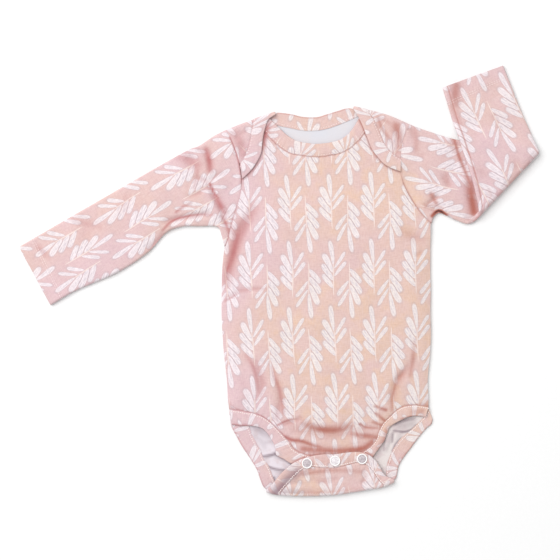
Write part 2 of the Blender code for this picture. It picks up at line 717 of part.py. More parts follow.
def press_snap(name, x, y):
    """A ring snap on the band, turned from its profile."""
    mesh = bpy.data.meshes.new(name)
    points = [(radius * MM, 0, height * MM) for radius, height in SNAP_PROFILE]
    mesh.from_pydata(points, [(i, i + 1) for i in range(len(points) - 1)], [])
    snap = bpy.data.objects.new(name, mesh)
    snap.location = (x * MM, y * MM, (TOP + SEAM_GAP) * MM)
    garment.objects.link(snap)
    add_material(snap, PLASTIC, 0.3)
    turning = snap.modifiers.new("turning", "SCREW")
    turning.steps = turning.render_steps = SNAP_SIDES
    turning.use_merge_vertices = True
    turning.merge_threshold = WELD * MM


for old in list(bpy.data.objects):
    bpy.data.objects.remove(old)
garment = bpy.data.collections.new("baby_bodysuit")
bpy.context.scene.collection.children.link(garment)

shoulder_left = Fold(SHOULDER_LEFT, 1)
shoulder_right = Fold(SHOULDER_RIGHT, 1)
crotch = Fold(CROTCH, -1)
armhole_left = Armhole(ARMHOLE_LEFT, shoulder_left, 0)
armhole_right = Armhole(ARMHOLE_RIGHT, shoulder_right, -1)

sew_back(shoulder_left, shoulder_right, crotch, armhole_left, armhole_right)
sew_front(armhole_left, armhole_right)
sew_sleeve_left(armhole_left)
sew_sleeve_right(armhole_right)
for snap in SNAPS:
    press_snap(*snap)
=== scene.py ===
# %% [markdown]
# # A baby's bodysuit in printed jersey, laid flat
# The garment is cut from thin cotton jersey: a front, a back and two sleeves, bound at the neck and the legs.
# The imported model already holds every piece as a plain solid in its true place. This script dresses each
# one with a finer shell of the same form, so the frame is loaded first and nothing in it is moved.

# %% Load the frame
from math import cos, pi, radians, sin

import bmesh
import bpy
import numpy as np
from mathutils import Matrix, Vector


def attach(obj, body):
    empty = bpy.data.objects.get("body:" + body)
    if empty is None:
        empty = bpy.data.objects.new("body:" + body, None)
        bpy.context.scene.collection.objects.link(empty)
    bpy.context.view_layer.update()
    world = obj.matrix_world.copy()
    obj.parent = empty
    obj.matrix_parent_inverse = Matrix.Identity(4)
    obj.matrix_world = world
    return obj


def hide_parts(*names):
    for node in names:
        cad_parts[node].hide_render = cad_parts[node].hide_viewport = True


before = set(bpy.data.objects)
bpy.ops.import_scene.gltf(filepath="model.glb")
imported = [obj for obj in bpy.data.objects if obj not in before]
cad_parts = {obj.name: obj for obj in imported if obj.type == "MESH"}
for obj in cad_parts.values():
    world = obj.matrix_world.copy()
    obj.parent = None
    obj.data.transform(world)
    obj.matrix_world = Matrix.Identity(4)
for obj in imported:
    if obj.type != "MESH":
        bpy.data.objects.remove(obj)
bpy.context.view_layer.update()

MM = 0.001

# %% [markdown]
# ## Camera, light and floor
# A garment for a shop page is shown from straight above on white card, under a big soft lamp at the upper
# left. A sun would be simpler, but its shadows are all alike. An area lamp gives soft ones and falls off a
# little towards the legs, and a white world fills them. The camera stands far away with a long lens, so the
# flat cloth keeps its proportions.

# %% The camera
VIEW_WIDTH = 0.56
VIEW_CENTRE = (0.001, 0.001)
CLOTH_LEVEL = 0.004
LENS = 100.0
SENSOR = 36.0


def add_object(name, data):
    made = bpy.data.objects.new(name, data)
    bpy.context.scene.collection.objects.link(made)
    return made


camera = add_object("camera", bpy.data.cameras.new("camera"))
camera.data.lens = LENS
camera.data.sensor_width = SENSOR
camera.location = (*VIEW_CENTRE, CLOTH_LEVEL + VIEW_WIDTH * LENS / SENSOR)
bpy.context.scene.camera = camera
print("camera", round(camera.location.z, 3), "m above the table")

# %% The lamp and the white room
LAMP_PLACE = Vector((-1.25, 1.15, 2.3))
LAMP_AIM = Vector((0.02, -0.03, 0.0))
LAMP_ENERGY = 74.0
LAMP_SIZE = 2.4
lamp = add_object("soft_lamp", bpy.data.lights.new("soft_lamp", "AREA"))
lamp.data.energy = LAMP_ENERGY
lamp.data.size = LAMP_SIZE
lamp.location = LAMP_PLACE
lamp.rotation_euler = (LAMP_AIM - LAMP_PLACE).to_track_quat("-Z", "Y").to_euler()

ROOM_WHITE = (1.0, 1.0, 1.0, 1.0)
ROOM_STRENGTH = 0.7
world = bpy.data.worlds.new("white room")
world.use_nodes = True
world.node_tree.nodes["Background"].inputs["Color"].default_value = ROOM_WHITE
world.node_tree.nodes["Background"].inputs["Strength"].default_value = ROOM_STRENGTH
bpy.context.scene.world = world
bpy.context.scene.view_settings.view_transform = "Standard"
print("lamp of", LAMP_SIZE, "m at", LAMP_PLACE.to_tuple(2))

# %% The floor
FLOOR_SIZE = 6.0
FLOOR_DROP = 0.0003  # a folded sleeve may dip by this much
floor_shape = bmesh.new()
bmesh.ops.create_grid(floor_shape, x_segments=1, y_segments=1, size=FLOOR_SIZE / 2)
bmesh.ops.translate(floor_shape, verts=floor_shape.verts, vec=(0, 0, -FLOOR_DROP))
floor = add_object("floor", bpy.data.meshes.new("floor"))
floor_shape.to_mesh(floor.data)
floor_shape.free()
print("floor:", FLOOR_SIZE, "m wide")

# %% [markdown]
# ## Shader maths as expressions
# The garment's finishes are all node trees. Trees can be wired in the shader editor, but a material that is
# a formula is easier to read as one. The class below wraps a socket of a node tree: arithmetic on it adds
# Math nodes, and `node` adds any other node with its settings and inputs.


# %% A class for shader maths
class Shade:
    """A socket of a node tree, used as a value."""

    def __init__(self, tree, socket=None):
        self.tree = tree
        self.socket = socket

    def node(self, kind, settings=None, inputs=None, output=0):
        made = self.tree.nodes.new(kind)
        for name, value in (settings or {}).items():
            setattr(made, name, value)
        for name, value in (inputs or {}).items():
            if isinstance(value, Shade):
                self.tree.links.new(value.socket, made.inputs[name])
            else:
                made.inputs[name].default_value = value
        return Shade(self.tree, made.outputs[output])

    def maths(self, operation, *values):
        return self.node("ShaderNodeMath", {"operation": operation}, dict(enumerate(values)))

    def __add__(self, other):
        return self.maths("ADD", self, other)

    def __radd__(self, other):
        return self.maths("ADD", other, self)

    def __sub__(self, other):
        return self.maths("SUBTRACT", self, other)

    def __rsub__(self, other):
        return self.maths("SUBTRACT", other, self)

    def __mul__(self, other):
        return self.maths("MULTIPLY", self, other)

    def __rmul__(self, other):
        return self.maths("MULTIPLY", other, self)

    def larger(self, other):
        return self.maths("MAXIMUM", self, other)

    def sine(self):
        return self.maths("SINE", self)

    def ramp(self, low, high, start=0.0, end=1.0):
        """A soft rise from start, at low, to end, at high."""
        inputs = {"Value": self, "From Min": low, "From Max": high, "To Min": start, "To Max": end}
        return self.node("ShaderNodeMapRange", {"interpolation_type": "SMOOTHSTEP"}, inputs)

    def part(self, axis):
        return self.node("ShaderNodeSeparateXYZ", None, {0: self}, axis)

    def vector(self, operation, *values):
        return self.node("ShaderNodeVectorMath", {"operation": operation}, dict(enumerate(values)))

    def colour(self, factor, other):
        """This colour mixed with another one."""
        inputs = {0: factor, 6: self, 7: other}
        return self.node("ShaderNodeMix", {"data_type": "RGBA"}, inputs, 2)

    def stretched(self, *factors):
        """This place, multiplied by a factor on each axis."""
        return self.vector("MULTIPLY", self, factors)

    def distance(self, place):
        return self.node("ShaderNodeVectorMath", {"operation": "DISTANCE"}, {0: self, 1: place}, 1)

    def noise(self, scale, detail=2.0, roughness=0.5):
        inputs = {"Vector": self, "Scale": scale, "Detail": detail, "Roughness": roughness}
        return self.node("ShaderNodeTexNoise", None, inputs)


# %% Helpers for materials, and the white card of the floor
def new_material(name):
    """A material with its Principled shader, and a value to start expressions from."""
    material = bpy.data.materials.new(name)
    material.use_nodes = True
    return material, material.node_tree.nodes["Principled BSDF"], Shade(material.node_tree)


def feed(shader, name, value):
    value.tree.links.new(value.socket, shader.inputs[name])


def colour_value(start, colour):
    value = start.node("ShaderNodeRGB")
    value.socket.default_value = colour
    return value


def room_place(start):
    """The place in the room in metres, which is also the place on every finished piece."""
    return start.node("ShaderNodeTexCoord", output=3)


FLOOR_WHITE = (0.82, 0.82, 0.82, 1.0)
FLOOR_GRAIN = (0.84, 0.84, 0.84, 1.0)
card, card_shader, start = new_material("white_card")
card_shader.inputs["Roughness"].default_value = 0.9
card_shader.inputs["Specular IOR Level"].default_value = 0.0
grain = room_place(start).noise(300.0).ramp(0.3, 0.7, 0.0, 0.4)
feed(card_shader, "Base Color", colour_value(start, FLOOR_WHITE).colour(grain, FLOOR_GRAIN))
floor.data.materials.append(card)
print("card:", card.name, "with", len(card.node_tree.nodes), "nodes")

# %% [markdown]
# ## The leaf sprig
# The print is a common one: small sprigs in rows, every second one upside down. One sprig is a stem with a
# leaf at its tip, three broad leaves on one side and two slim ones on the other. Each leaf is the inside of
# a blunt ellipse, so a Mapping node that puts it in its own unit frame is all it needs, and unlike an image
# of a leaf it stays sharp at any distance. The leaves are laid one over the other, and each has a thin
# outline, faint on the cloth and plain where it parts two leaves.

# %% The leaf sprig as a node group
#    base x  base y  lean to the left  length  width
LEAVES = (
    (0.8, -21.9, 37.0, 19.4, 7.3),
    (0.7, -14.0, 34.0, 21.8, 7.5),
    (0.2, -5.8, 26.0, 23.0, 7.3),
    (1.2, -9.7, -37.0, 19.6, 5.0),
    (1.0, -1.6, -32.5, 21.4, 4.4),
    (0.3, 2.0, 6.0, 26.5, 5.8),
)
STEM = (1.2, -30.0, 1.5, 36.0, 1.3)
LEAF_TAPER = 0.4
OUTLINE = (-0.5, -0.1)  # depths between which a leaf's outline comes up
INSIDE = (0.0, 0.35)  # depths between which its paint does
FAINT = 0.3  # strength of an outline on the bare cloth, where 1 is that between two leaves
MARK_STEP = (3.0, 7.0)  # parts the brush marks of one leaf from the next one's


def stroke(place, x, y, lean, length, width, taper):
    """A leaf's own frame, and the depth in it: 1 on the middle line, 0 at the edge and less outside."""
    turn = radians(lean)
    own = {
        "Vector": place,
        "Location": (x - sin(turn) * length / 2, y + cos(turn) * length / 2, 0),
        "Rotation": (0, 0, turn),
        "Scale": (width / 2, length / 2, 1),
    }
    leaf = place.node("ShaderNodeMapping", {"vector_type": "TEXTURE"}, own)
    along = leaf.part(1)
    across = leaf.part(0) * (1 + taper / 2 - along * taper)
    squared = along * along
    return leaf, 1 - across * across - (squared + squared * squared) * 0.5


def make_sprig():
    """A node group: from a place on the print, in mm, to its hairlines, leaves, stem and brush marks."""
    tree = bpy.data.node_groups.new("leaf_sprig", "ShaderNodeTree")
    tree.interface.new_socket("Place", in_out="INPUT", socket_type="NodeSocketVector")
    for name in ("Hairline", "White", "Stem"):
        tree.interface.new_socket(name, in_out="OUTPUT", socket_type="NodeSocketFloat")
    tree.interface.new_socket("Brush", in_out="OUTPUT", socket_type="NodeSocketVector")
    place = Shade(tree).node("NodeGroupInput")
    hairline = white = brush = None
    for number, leaf_sizes in enumerate(LEAVES):
        leaf, depth = stroke(place, *leaf_sizes, LEAF_TAPER)
        outline = depth.ramp(*OUTLINE)
        inside = depth.ramp(*INSIDE)
        mark = leaf.vector("ADD", leaf, (MARK_STEP[0] * number, MARK_STEP[1] * number, 0))
        if white is None:
            hairline, white, brush = outline * (1 - inside) * FAINT, inside, mark
        else:
            over = white * (1 - FAINT) + FAINT
            hairline = hairline.larger(over * outline) * (1 - inside)
            white = white * (1 - outline) + inside
            brush = brush.node("ShaderNodeMix", {"data_type": "VECTOR"}, {0: outline, 4: brush, 5: mark}, 1)
    stem = stroke(place, *STEM, 0.0)[1].ramp(*INSIDE)
    result = tree.nodes.new("NodeGroupOutput")
    for socket, value in zip(result.inputs, (hairline, white, stem, brush)):
        tree.links.new(value.socket, socket)
    return tree


sprig = make_sprig()
print("leaf sprig:", len(LEAVES), "leaves,", len(sprig.nodes), "nodes")

# %% [markdown]
# ## Printed jersey
# Every piece of cloth carries a UV map named cloth, its place on the flat cloth in metres, so the print runs
# on over folds and turns where the cloth does. The pink is uneven, as a pigment print on a knit is: it drifts
# from blush at the sides to peach in the middle, with amber patches where it is warm, and fine streaks of
# uneven yarn run both ways over it. The brush marks leave the leaves a little thin. An image could hold all
# this, but noises have no seam and no edge. A second attribute holds painted shade, a darker colour put where
# the cloth is drawn in, under edges and along seams, where shade would fall: up to 1 the colour gets deeper
# there, and from 1 to 2 it goes on to a painted black, the shadow of a pit.
# The knit's columns are under a millimetre, so they are bump.

# %% Colours of the print
PITCH = (41.2, 66.5)
UP_MIDDLE = (14.0, 13.2)
DOWN_MIDDLE = (31.4, -10.3)
ROSE = (0.655, 0.455, 0.43, 1.0)
PEACH = (0.675, 0.475, 0.39, 1.0)
BLUSH = (0.645, 0.455, 0.485, 1.0)
PALE = (0.73, 0.575, 0.545, 1.0)
LEAF_WHITE = (0.80, 0.715, 0.74, 1.0)
LEAF_CREAM = (0.78, 0.705, 0.675, 1.0)
LEAF_SHADE = (0.62, 0.55, 0.59, 1.0)
STEM_CREAM = (0.77, 0.64, 0.60, 1.0)
HAIRLINE = (0.44, 0.37, 0.40, 1.0)
AMBER = (0.71, 0.485, 0.35, 1.0)
# colours of painted shade: rose, peach and plum, and the painted black shadow of a pit
SHADE_ROSE = (0.42, 0.125, 0.125, 1.0)
SHADE_PEACH = (0.40, 0.125, 0.09, 1.0)
SHADE_PLUM = (0.26, 0.16, 0.19, 1.0)
PIT_SHADOW = (0.05, 0.02, 0.02, 1.0)
MELANGE = (0.915, 0.90, 0.905)
print("print repeats every", PITCH, "mm")

# %% The knit, and what every jersey shares
WALE = 0.8
COURSE = 0.6
KNIT_DEPTH = 0.0004
KNIT_STRENGTH = 0.25
#    columns, rows, fuzz
KNIT_SHARES = (0.35, 0.2, 0.9)
FUZZ = 1.3  # waves in a millimetre


def knit_bump(start, cloth):
    """The face of a jersey knit: columns of stitches, each row a little lower between them."""
    columns = (cloth.part(0) * (2 * pi / WALE)).sine()
    rows = (cloth.part(1) * (2 * pi / COURSE)).sine()
    fuzz = cloth.noise(FUZZ, 3.0)
    height = columns * KNIT_SHARES[0] + rows * KNIT_SHARES[1] + fuzz * KNIT_SHARES[2]
    inputs = {"Height": height, "Strength": KNIT_STRENGTH, "Distance": KNIT_DEPTH}
    return start.node("ShaderNodeBump", None, inputs)


def cloth_place(start):
    """The place on the cloth in millimetres."""
    uv = start.node("ShaderNodeUVMap", {"uv_map": "cloth"})
    return uv.node("ShaderNodeVectorMath", {"operation": "SCALE"}, {0: uv, "Scale": 1 / MM})


# the attribute of painted shade: a darker colour put where shade would fall
def painted_shade_value(start):
    return start.node("ShaderNodeAttribute", {"attribute_name": "painted_shade"}, output=2)


def finish_cloth(shader):
    shader.inputs["Roughness"].default_value = 0.88
    shader.inputs["Specular IOR Level"].default_value = 0.25
    shader.inputs["Sheen Weight"].default_value = 0.25
    shader.inputs["Sheen Roughness"].default_value = 0.5


print("knit:", round(1 / WALE, 2), "columns and", round(1 / COURSE, 2), "rows in a millimetre")

# %% Where the print lies and what it paints
WANDER = 8.0  # mm between the ends of the print's wandering from its even place
WANDER_NOISE = {"Scale": 14.0, "Detail": 4.0, "Roughness": 0.42}
BRUSH_MARKS = (2.6, 1.1, 1.0)  # how close they lie, across a leaf and along it


def wandering(room):
    """How far the print lies from its even place, in mm."""
    drift = room.node("ShaderNodeTexNoise", None, {"Vector": room, **WANDER_NOISE}, 1)
    drift = drift.vector("SUBTRACT", drift, (0.5, 0.5, 0.5))
    return drift.stretched(WANDER, WANDER, 0.0)


def print_layers(start, place):
    """Hairlines, leaves, stems and the thick of the paint, for the upright sprigs and those upside down."""
    half = (PITCH[0] / 2, PITCH[1] / 2, 1)
    rows = []
    for middle, flip in ((UP_MIDDLE, 1.0), (DOWN_MIDDLE, -1.0)):
        local = place.vector("SUBTRACT", place, (*middle, 0)).stretched(flip, flip, 0)
        local = local.vector("WRAP", local, half, tuple(-value for value in half))
        drawn = start.tree.nodes.new("ShaderNodeGroup")
        drawn.node_tree = sprig
        start.tree.links.new(local.socket, drawn.inputs[0])
        hairline, white, stem, brush = (Shade(start.tree, socket) for socket in drawn.outputs)
        marks = brush.stretched(*BRUSH_MARKS).noise(1.6, 3.0, 0.65).ramp(0.36, 0.56)
        rows.append((hairline, white, stem, white * marks))
    return [one.larger(other) for one, other in zip(*rows)]


print("print wanders within", WANDER, "mm")

# %% The ground's colour
WARM_MIDDLE = (0.085, -0.007, 0.0)
WARM_REACH = (0.15, 0.04)
WARM_SHAPE = (1.0, 0.35, 1.0)  # the warm middle is taller than wide
DRIFTS = 9.0  # waves in a metre
PATCHES = 42.0  # waves in a metre
GLOWS = 0.065  # waves in a millimetre
HEATHER = (0.7, 0.22, 1.0)
WEFTS = (0.16, 1.3, 1.0)
WARPS = (1.3, 0.16, 1.0)
# where the painted shade turns from rose to peach, how much of it shows, and where it turns plum
SHADE_SIDES = (-0.005, 0.03)
SHADE_SHARE = 0.95
PLUM_SHADE_CORNER = (0.006, -0.203, 0.006)
PLUM_SHADE_REACH = (0.012, 0.03)


def ground(start, room, cloth):
    """The pink of the bare cloth, and how warm it is, from 0 to 1."""
    slow = room.noise(DRIFTS, 2.0)
    middle = room.stretched(*WARM_SHAPE).distance(WARM_MIDDLE).ramp(*WARM_REACH)
    warmth = middle * 0.5 + slow.ramp(0.35, 0.65) * 0.5
    pink = colour_value(start, BLUSH).colour(warmth.ramp(0.1, 0.5), ROSE)
    pink = pink.colour(warmth.ramp(0.4, 0.95), PEACH)
    patch = room.noise(PATCHES, 1.0).ramp(0.4, 0.7, 0.0, 0.45)
    glow = cloth.noise(GLOWS, 1.0).ramp(0.5, 0.7, 0.0, 0.5) * warmth.ramp(0.35, 0.8)
    heather = cloth.stretched(*HEATHER).noise(1.0, 3.0).ramp(0.3, 0.75, 0.0, 0.42)
    return pink.colour(patch, BLUSH).colour(glow, AMBER).colour(heather, PALE), warmth


def with_painted_shade(start, room, colour):
    """A colour of the cloth's face with painted shade: deeper where the cloth is drawn in, and black in pits.
    """
    # the painted shade is rose at the left, peach at the right and plum near the tongue's corner
    deep = colour_value(start, SHADE_ROSE).colour(room.part(0).ramp(*SHADE_SIDES), SHADE_PEACH)
    deep = deep.colour(room.distance(PLUM_SHADE_CORNER).ramp(*PLUM_SHADE_REACH, 1.0, 0.0), SHADE_PLUM)
    painted_shade = painted_shade_value(start)
    return colour.colour(painted_shade * SHADE_SHARE, deep).colour(painted_shade.ramp(1.0, 2.0), PIT_SHADOW)


def streaked(cloth, colour):
    """A colour with the faint streaks of uneven yarn, both ways of the cloth."""
    wefts = cloth.stretched(*WEFTS).noise(1.0, 2.0, 0.6)
    warps = cloth.stretched(*WARPS).noise(1.0, 2.0, 0.6)
    yarn = (wefts * 0.6 + warps * 0.4).ramp(0.42, 0.6)
    return colour.colour(yarn, colour.stretched(*MELANGE))


print("ground: warmest at", WARM_MIDDLE[:2], "and plum at", PLUM_SHADE_CORNER[:2])


# %% The printed jersey
def printed_jersey(name, shift=(0.0, 0.0), lean=0.0):
    """Pink jersey with the sprigs, moved by shift in mm and turned by lean in degrees on this piece."""
    material, shader, start = new_material(name)
    cloth = cloth_place(start)
    room = room_place(start)
    turn = {"Vector": cloth, "Rotation": (0, 0, radians(lean)), "Location": (*shift, 0)}
    place = cloth.node("ShaderNodeMapping", {"vector_type": "POINT"}, turn)
    place = place.vector("ADD", place, wandering(room))
    hairline, white, stem, bright = print_layers(start, place)
    worn = cloth.noise(1.1, 2.0).ramp(0.25, 0.45, 0.8, 1.0)

    pink, warmth = ground(start, room, cloth)
    paint = colour_value(start, LEAF_WHITE).colour(warmth.ramp(0.2, 0.8), LEAF_CREAM)
    leaf = colour_value(start, LEAF_SHADE).colour(bright, paint)
    colour = pink.colour(white * worn, leaf).colour(hairline * 0.75, HAIRLINE).colour(stem * worn, STEM_CREAM)
    feed(shader, "Base Color", streaked(cloth, with_painted_shade(start, room, colour)))
    feed(shader, "Normal", knit_bump(start, cloth))
    finish_cloth(shader)
    return material


print("the printed jersey is a function, called with a shift and a lean for each piece")

# %% [markdown]
# ## The plain inside and the thread
# The back of a printed jersey is white, and the print just shows through it. It shares its knit and its
# finish with the face, so it is a second material on the same shell, which needs no second sheet. A thread
# is a twisted yarn: at this size a fine noise between two pale pinks is enough.

# %% The jersey's plain inside, and the thread
INSIDE_COOL = (0.625, 0.62, 0.665, 1.0)
INSIDE_WARM = (0.66, 0.615, 0.625, 1.0)
INSIDE_LILAC = (0.71, 0.645, 0.69, 1.0)
INSIDE_CREAM = (0.70, 0.635, 0.62, 1.0)
INSIDE_SHADE = (0.21, 0.145, 0.175, 1.0)
PRINT_THROUGH = (0.60, 0.48, 0.49, 1.0)
AT_LEGS = (-0.14, -0.11)
LEGS_ACROSS = (0.0, 0.1)


def plain_inside(name):
    """The white back of the jersey, with the print just showing through, most of all at the legs, and painted
    shade.
    """
    material, shader, start = new_material(name)
    cloth = cloth_place(start)
    room = room_place(start)
    warm = room.noise(40.0, 3.0).ramp(0.35, 0.7, 0.0, 0.6)
    colour = colour_value(start, INSIDE_COOL).colour(warm, INSIDE_WARM)
    at_legs = colour_value(start, INSIDE_LILAC).colour(room.part(0).ramp(*LEGS_ACROSS), INSIDE_CREAM)
    at_legs = at_legs.colour(room.noise(110.0, 3.0).ramp(0.45, 0.65, 0.0, 0.45), PRINT_THROUGH)
    colour = colour.colour(room.part(1).ramp(*AT_LEGS, 1.0, 0.0), at_legs)
    # painted shade on the plain inside, where the cloth is drawn in
    feed(shader, "Base Color", colour.colour(painted_shade_value(start) * 0.9, INSIDE_SHADE))
    feed(shader, "Normal", knit_bump(start, cloth))
    finish_cloth(shader)
    return material


inside = plain_inside("jersey_inside")
THREAD_PINK = (0.84, 0.71, 0.68, 1.0)
THREAD_PALE = (0.91, 0.83, 0.81, 1.0)
thread, thread_shader, start = new_material("thread")
twist = room_place(start).noise(2500.0).ramp(0.3, 0.7)
feed(thread_shader, "Base Color", colour_value(start, THREAD_PINK).colour(twist, THREAD_PALE))
thread_shader.inputs["Roughness"].default_value = 0.7
print("inside and thread:", inside.name, thread.name)

# %% [markdown]
# ## Lines and rows of points
# Each piece of cloth is a sheet of points between the seams that it shares with its neighbours, so the
# seams are the measurements that matter. They are short tables in millimetres, read as smooth curves. The
# sheet between four seams starts as a blend of its left and right edge, which would bunch up or cross in a
# sharp corner. Rounds of evening then shift each point between its eight neighbours, until the rows and
# columns flow from edge to edge.

# %% Lines
FINE = 8
SPLINE_STEPS = 24


def spline(points):
    """A dense line of points on a smooth curve (Catmull-Rom) through the given ones."""
    given = np.array(points, float)
    padded = np.vstack([2 * given[0] - given[1], given, 2 * given[-1] - given[-2]])
    t = np.linspace(0, 1, SPLINE_STEPS, endpoint=False)[:, None]
    pieces = []
    for a, b, c, d in zip(padded, padded[1:], padded[2:], padded[3:]):
        pieces.append(b + 0.5 * t * (c - a + t * (2 * a - 5 * b + 4 * c - d + t * (3 * b - a - 3 * c + d))))
    return np.vstack([*pieces, given[-1:]])


def running(steps):
    """How far along a line each point is, from the steps between them."""
    return np.concatenate([[0.0], np.cumsum(steps)])


def lengths(line):
    """How far along a line each point is, measured on its last two columns."""
    return running(np.linalg.norm(np.diff(line[:, -2:], axis=0), axis=1))


def read(line, places, measure):
    """Rows of a line at places on a measure that grows along it."""
    return np.column_stack([np.interp(places, measure, column) for column in line.T])


def evenly(line, count):
    """A line divided into count stretches of one length."""
    measure = lengths(line)
    return read(line, np.linspace(0, measure[-1], count + 1), measure)


def divided(line, stations, counts):
    """A spline divided at some of its stations, and each stretch then divided evenly."""
    marks = [0, *(round(station * SPLINE_STEPS) for station in stations), len(line) - 1]
    parts = [evenly(line[a : b + 1], count) for a, b, count in zip(marks, marks[1:], counts)]
    return np.vstack([parts[0], *(part[1:] for part in parts[1:])])


print("a curve through 3 points has", len(spline(((0, 0), (1, 1), (2, 0)))), "of its own")

# %% Rows of points, and places beside a line
EVENING_ROUNDS = 1200


def smooth_step(value, start, end):
    """0 up to start, 1 from end on, and a soft rise between them."""
    t = np.clip((value - start) / (end - start), 0.0, 1.0)
    return t * t * (3 - 2 * t)


def between(left, right, bottom, top):
    """Rows of plan points filling four edges: left and right run from bottom to top, as many points each."""
    u = np.linspace(0, 1, len(bottom))[None, :, None]
    rows = (1 - u) * left[:, None] + u * right[:, None]
    rows[0], rows[-1] = bottom, top
    for _ in range(EVENING_ROUNDS):
        along = rows[1:-1, 2:] - rows[1:-1, :-2]
        up = rows[2:, 1:-1] - rows[:-2, 1:-1]
        skew = (along * up).sum(axis=2, keepdims=True)
        along, up = (along**2).sum(axis=2, keepdims=True), (up**2).sum(axis=2, keepdims=True)
        corners = rows[2:, 2:] - rows[2:, :-2] - rows[:-2, 2:] + rows[:-2, :-2]
        moved = up * (rows[1:-1, 2:] + rows[1:-1, :-2]) + along * (rows[2:, 1:-1] + rows[:-2, 1:-1])
        rows[1:-1, 1:-1] = (moved - skew * corners / 2) / (2 * (along + up))
    return rows


def nearest(line, x, y):
    """How far points of the plan are from a line, and how far along it their nearest point is."""
    measure = lengths(line)
    best = np.full(np.shape(x), np.inf)
    place = np.zeros(np.shape(x))
    for a, b, at in zip(line[:-1, -2:], line[1:, -2:], measure):
        run = b - a
        length = np.linalg.norm(run)
        if length > 0:
            t = np.clip(((x - a[0]) * run[0] + (y - a[1]) * run[1]) / length**2, 0.0, 1.0)
            away = np.hypot(x - a[0] - t * run[0], y - a[1] - t * run[1])
            place = np.where(away < best, at + t * length, place)
            best = np.minimum(best, away)
    return best, place


print("each sheet is evened in", EVENING_ROUNDS, "rounds")

# %% [markdown]
# ## Creases, puckers and waves
# Jersey that is laid down by hand keeps long soft valleys from the armpits, small gathers where the elastic
# binding pulls, and broad waves in between. The long ones are placed one by one: a run of points, a width and
# a rise, which is negative for a valley. A valley has a low ridge at each side, as pushed cloth has. Puckers
# are waves along a seam that fade away from it. A displacement texture could wrinkle the cloth all over, but
# these know where the seams are.

# %% Creases, puckers and waves
#    radians a mm along x and y, start
WAVES = (
    (0.105, 0.041, 0.3),
    (-0.062, 0.118, 1.9),
    (0.171, -0.092, 4.1),
    (0.048, 0.193, 2.6),
    (-0.214, -0.057, 5.2),
)
WAVE_RISE = 0.13
#    radians a mm, start, share
PUCKERS = ((1.21, 0.0, 1.0), (0.79, 1.3, 0.7), (2.03, 0.4, 0.5))
PUCKER_RISE = 0.22
CREASE_STEPS = 10
CREASE_END = 0.2  # a crease's share of its rise at both ends
SIDE_RIDGES = 0.45


def relief(creases, x, y):
    """Height that a table of creases adds at points of the plan."""
    total = np.zeros(np.shape(x))
    for run, width, rise in creases:
        line = evenly(spline(run), CREASE_STEPS)
        away, place = nearest(line, x, y)
        share = place / lengths(line)[-1]
        fade = (4 * share * (1 - share)) ** 0.5 * (1 - CREASE_END) + CREASE_END
        near = (away / width) ** 2
        total += rise * fade * (1 - SIDE_RIDGES * near) * np.exp(-near)
    return total


def waves(x, y):
    """Broad uneven waves of about a third of a millimetre."""
    return sum(np.sin(a * x + b * y + c) for a, b, c in WAVES) * WAVE_RISE


def ripple(place, parts):
    """An uneven wave along a line."""
    return sum(share * np.sin(pace * place + start) for pace, start, share in parts)


def puckers(seam, x, y, reach=5.0):
    """Small gathers along a seam."""
    away, place = nearest(seam, x, y)
    return ripple(place, PUCKERS) * PUCKER_RISE * np.exp(-away / reach)


def sunk(seam, x, y, depth=0.3, reach=1.1):
    """How far the cloth sinks beside a seam."""
    away, _ = nearest(seam, x, y)
    return depth * np.exp(-((away / reach) ** 2))


print("waves:", len(WAVES), "puckers:", len(PUCKERS))

# %% How much shade is painted into the cloth
SHADE_STEPS = 36


def valley_shade(folds, full=3.2, most=0.6):
    """How much shade is painted into valleys: all of it at a depth of full mm, but never more than most."""
    return np.clip(-folds / full, 0, most)


def shaded(painted_shade, shades, x, y):
    """Painted shade made at least as dark as shades, each a run, strengths spread evenly along it, and a
    reach.
    """
    for run, strengths, reach in shades:
        line = evenly(spline(run), SHADE_STEPS)
        away, place = nearest(line, x, y)
        strength = np.interp(place / lengths(line)[-1], np.linspace(0, 1, len(strengths)), strengths)
        painted_shade = np.maximum(painted_shade, strength * np.exp(-((away / reach) ** 2)))
    return painted_shade


print("a valley of 1 mm is", round(float(valley_shade(-1.0)), 2), "with_painted_shade")

# %% [markdown]
# ## Sizes of the garment
# These are the levels and seams that the solids were built from, in millimetres, and a height is that of an
# outer face above the table. A pattern is drawn by its seams, so a table holds the stations of a seam and
# nothing between them. A row is added only where a seam changes direction, because a smooth curve through
# few stations looks more like a sewn line than one through many.

# %% Levels of the cloth
WALL = 1.2
BAND = 1.8
SEAM_GAP = 0.04
SLEEVE_GAP = 0.05
WELD = 0.01
FOLD_RADIUS = 3.0
TOP = 2 * FOLD_RADIUS
print("walls:", WALL, "mm, bindings:", BAND, "mm, laps and tongue at", TOP, "mm")

# %% Side seams and armholes
#    y       left    right
BODY = (
    (-118.0, -51.2, 149.6),
    (-98.0, -52.3, 148.8),
    (-74.0, -55.0, 151.0),
    (-53.0, -56.6, 152.0),
    (-32.0, -57.4, 151.4),
    (-9.0, -57.3, 151.8),
    (12.0, -56.8, 151.3),
    (34.0, -54.6, 151.4),
)
ARMPIT_LEFT = (-54.6, 34.5)
ARMPIT_RIGHT = (152.6, 57.5)
#    x       y
ARMHOLE_LEFT = (
    (-49.2, 143.7),
    (-45.4, 134.6),
    (-41.6, 124.1),
    (-39.2, 113.6),
    (-37.8, 101.6),
    (-38.0, 90.0),
    (-41.0, 78.0),
    (-45.6, 64.0),
    (-49.4, 50.0),
    (-51.2, 41.5),
    ARMPIT_LEFT,
)
ARMHOLE_RIGHT = (
    (125.9, 146.5),
    (122.9, 135.4),
    (121.7, 123.1),
    (121.6, 110.6),
    (124.2, 98.5),
    (129.6, 86.8),
    (136.8, 75.2),
    (144.6, 65.4),
    ARMPIT_RIGHT,
)
print("chest:", round(BODY[-1][2] - BODY[-1][1]), "mm wide")

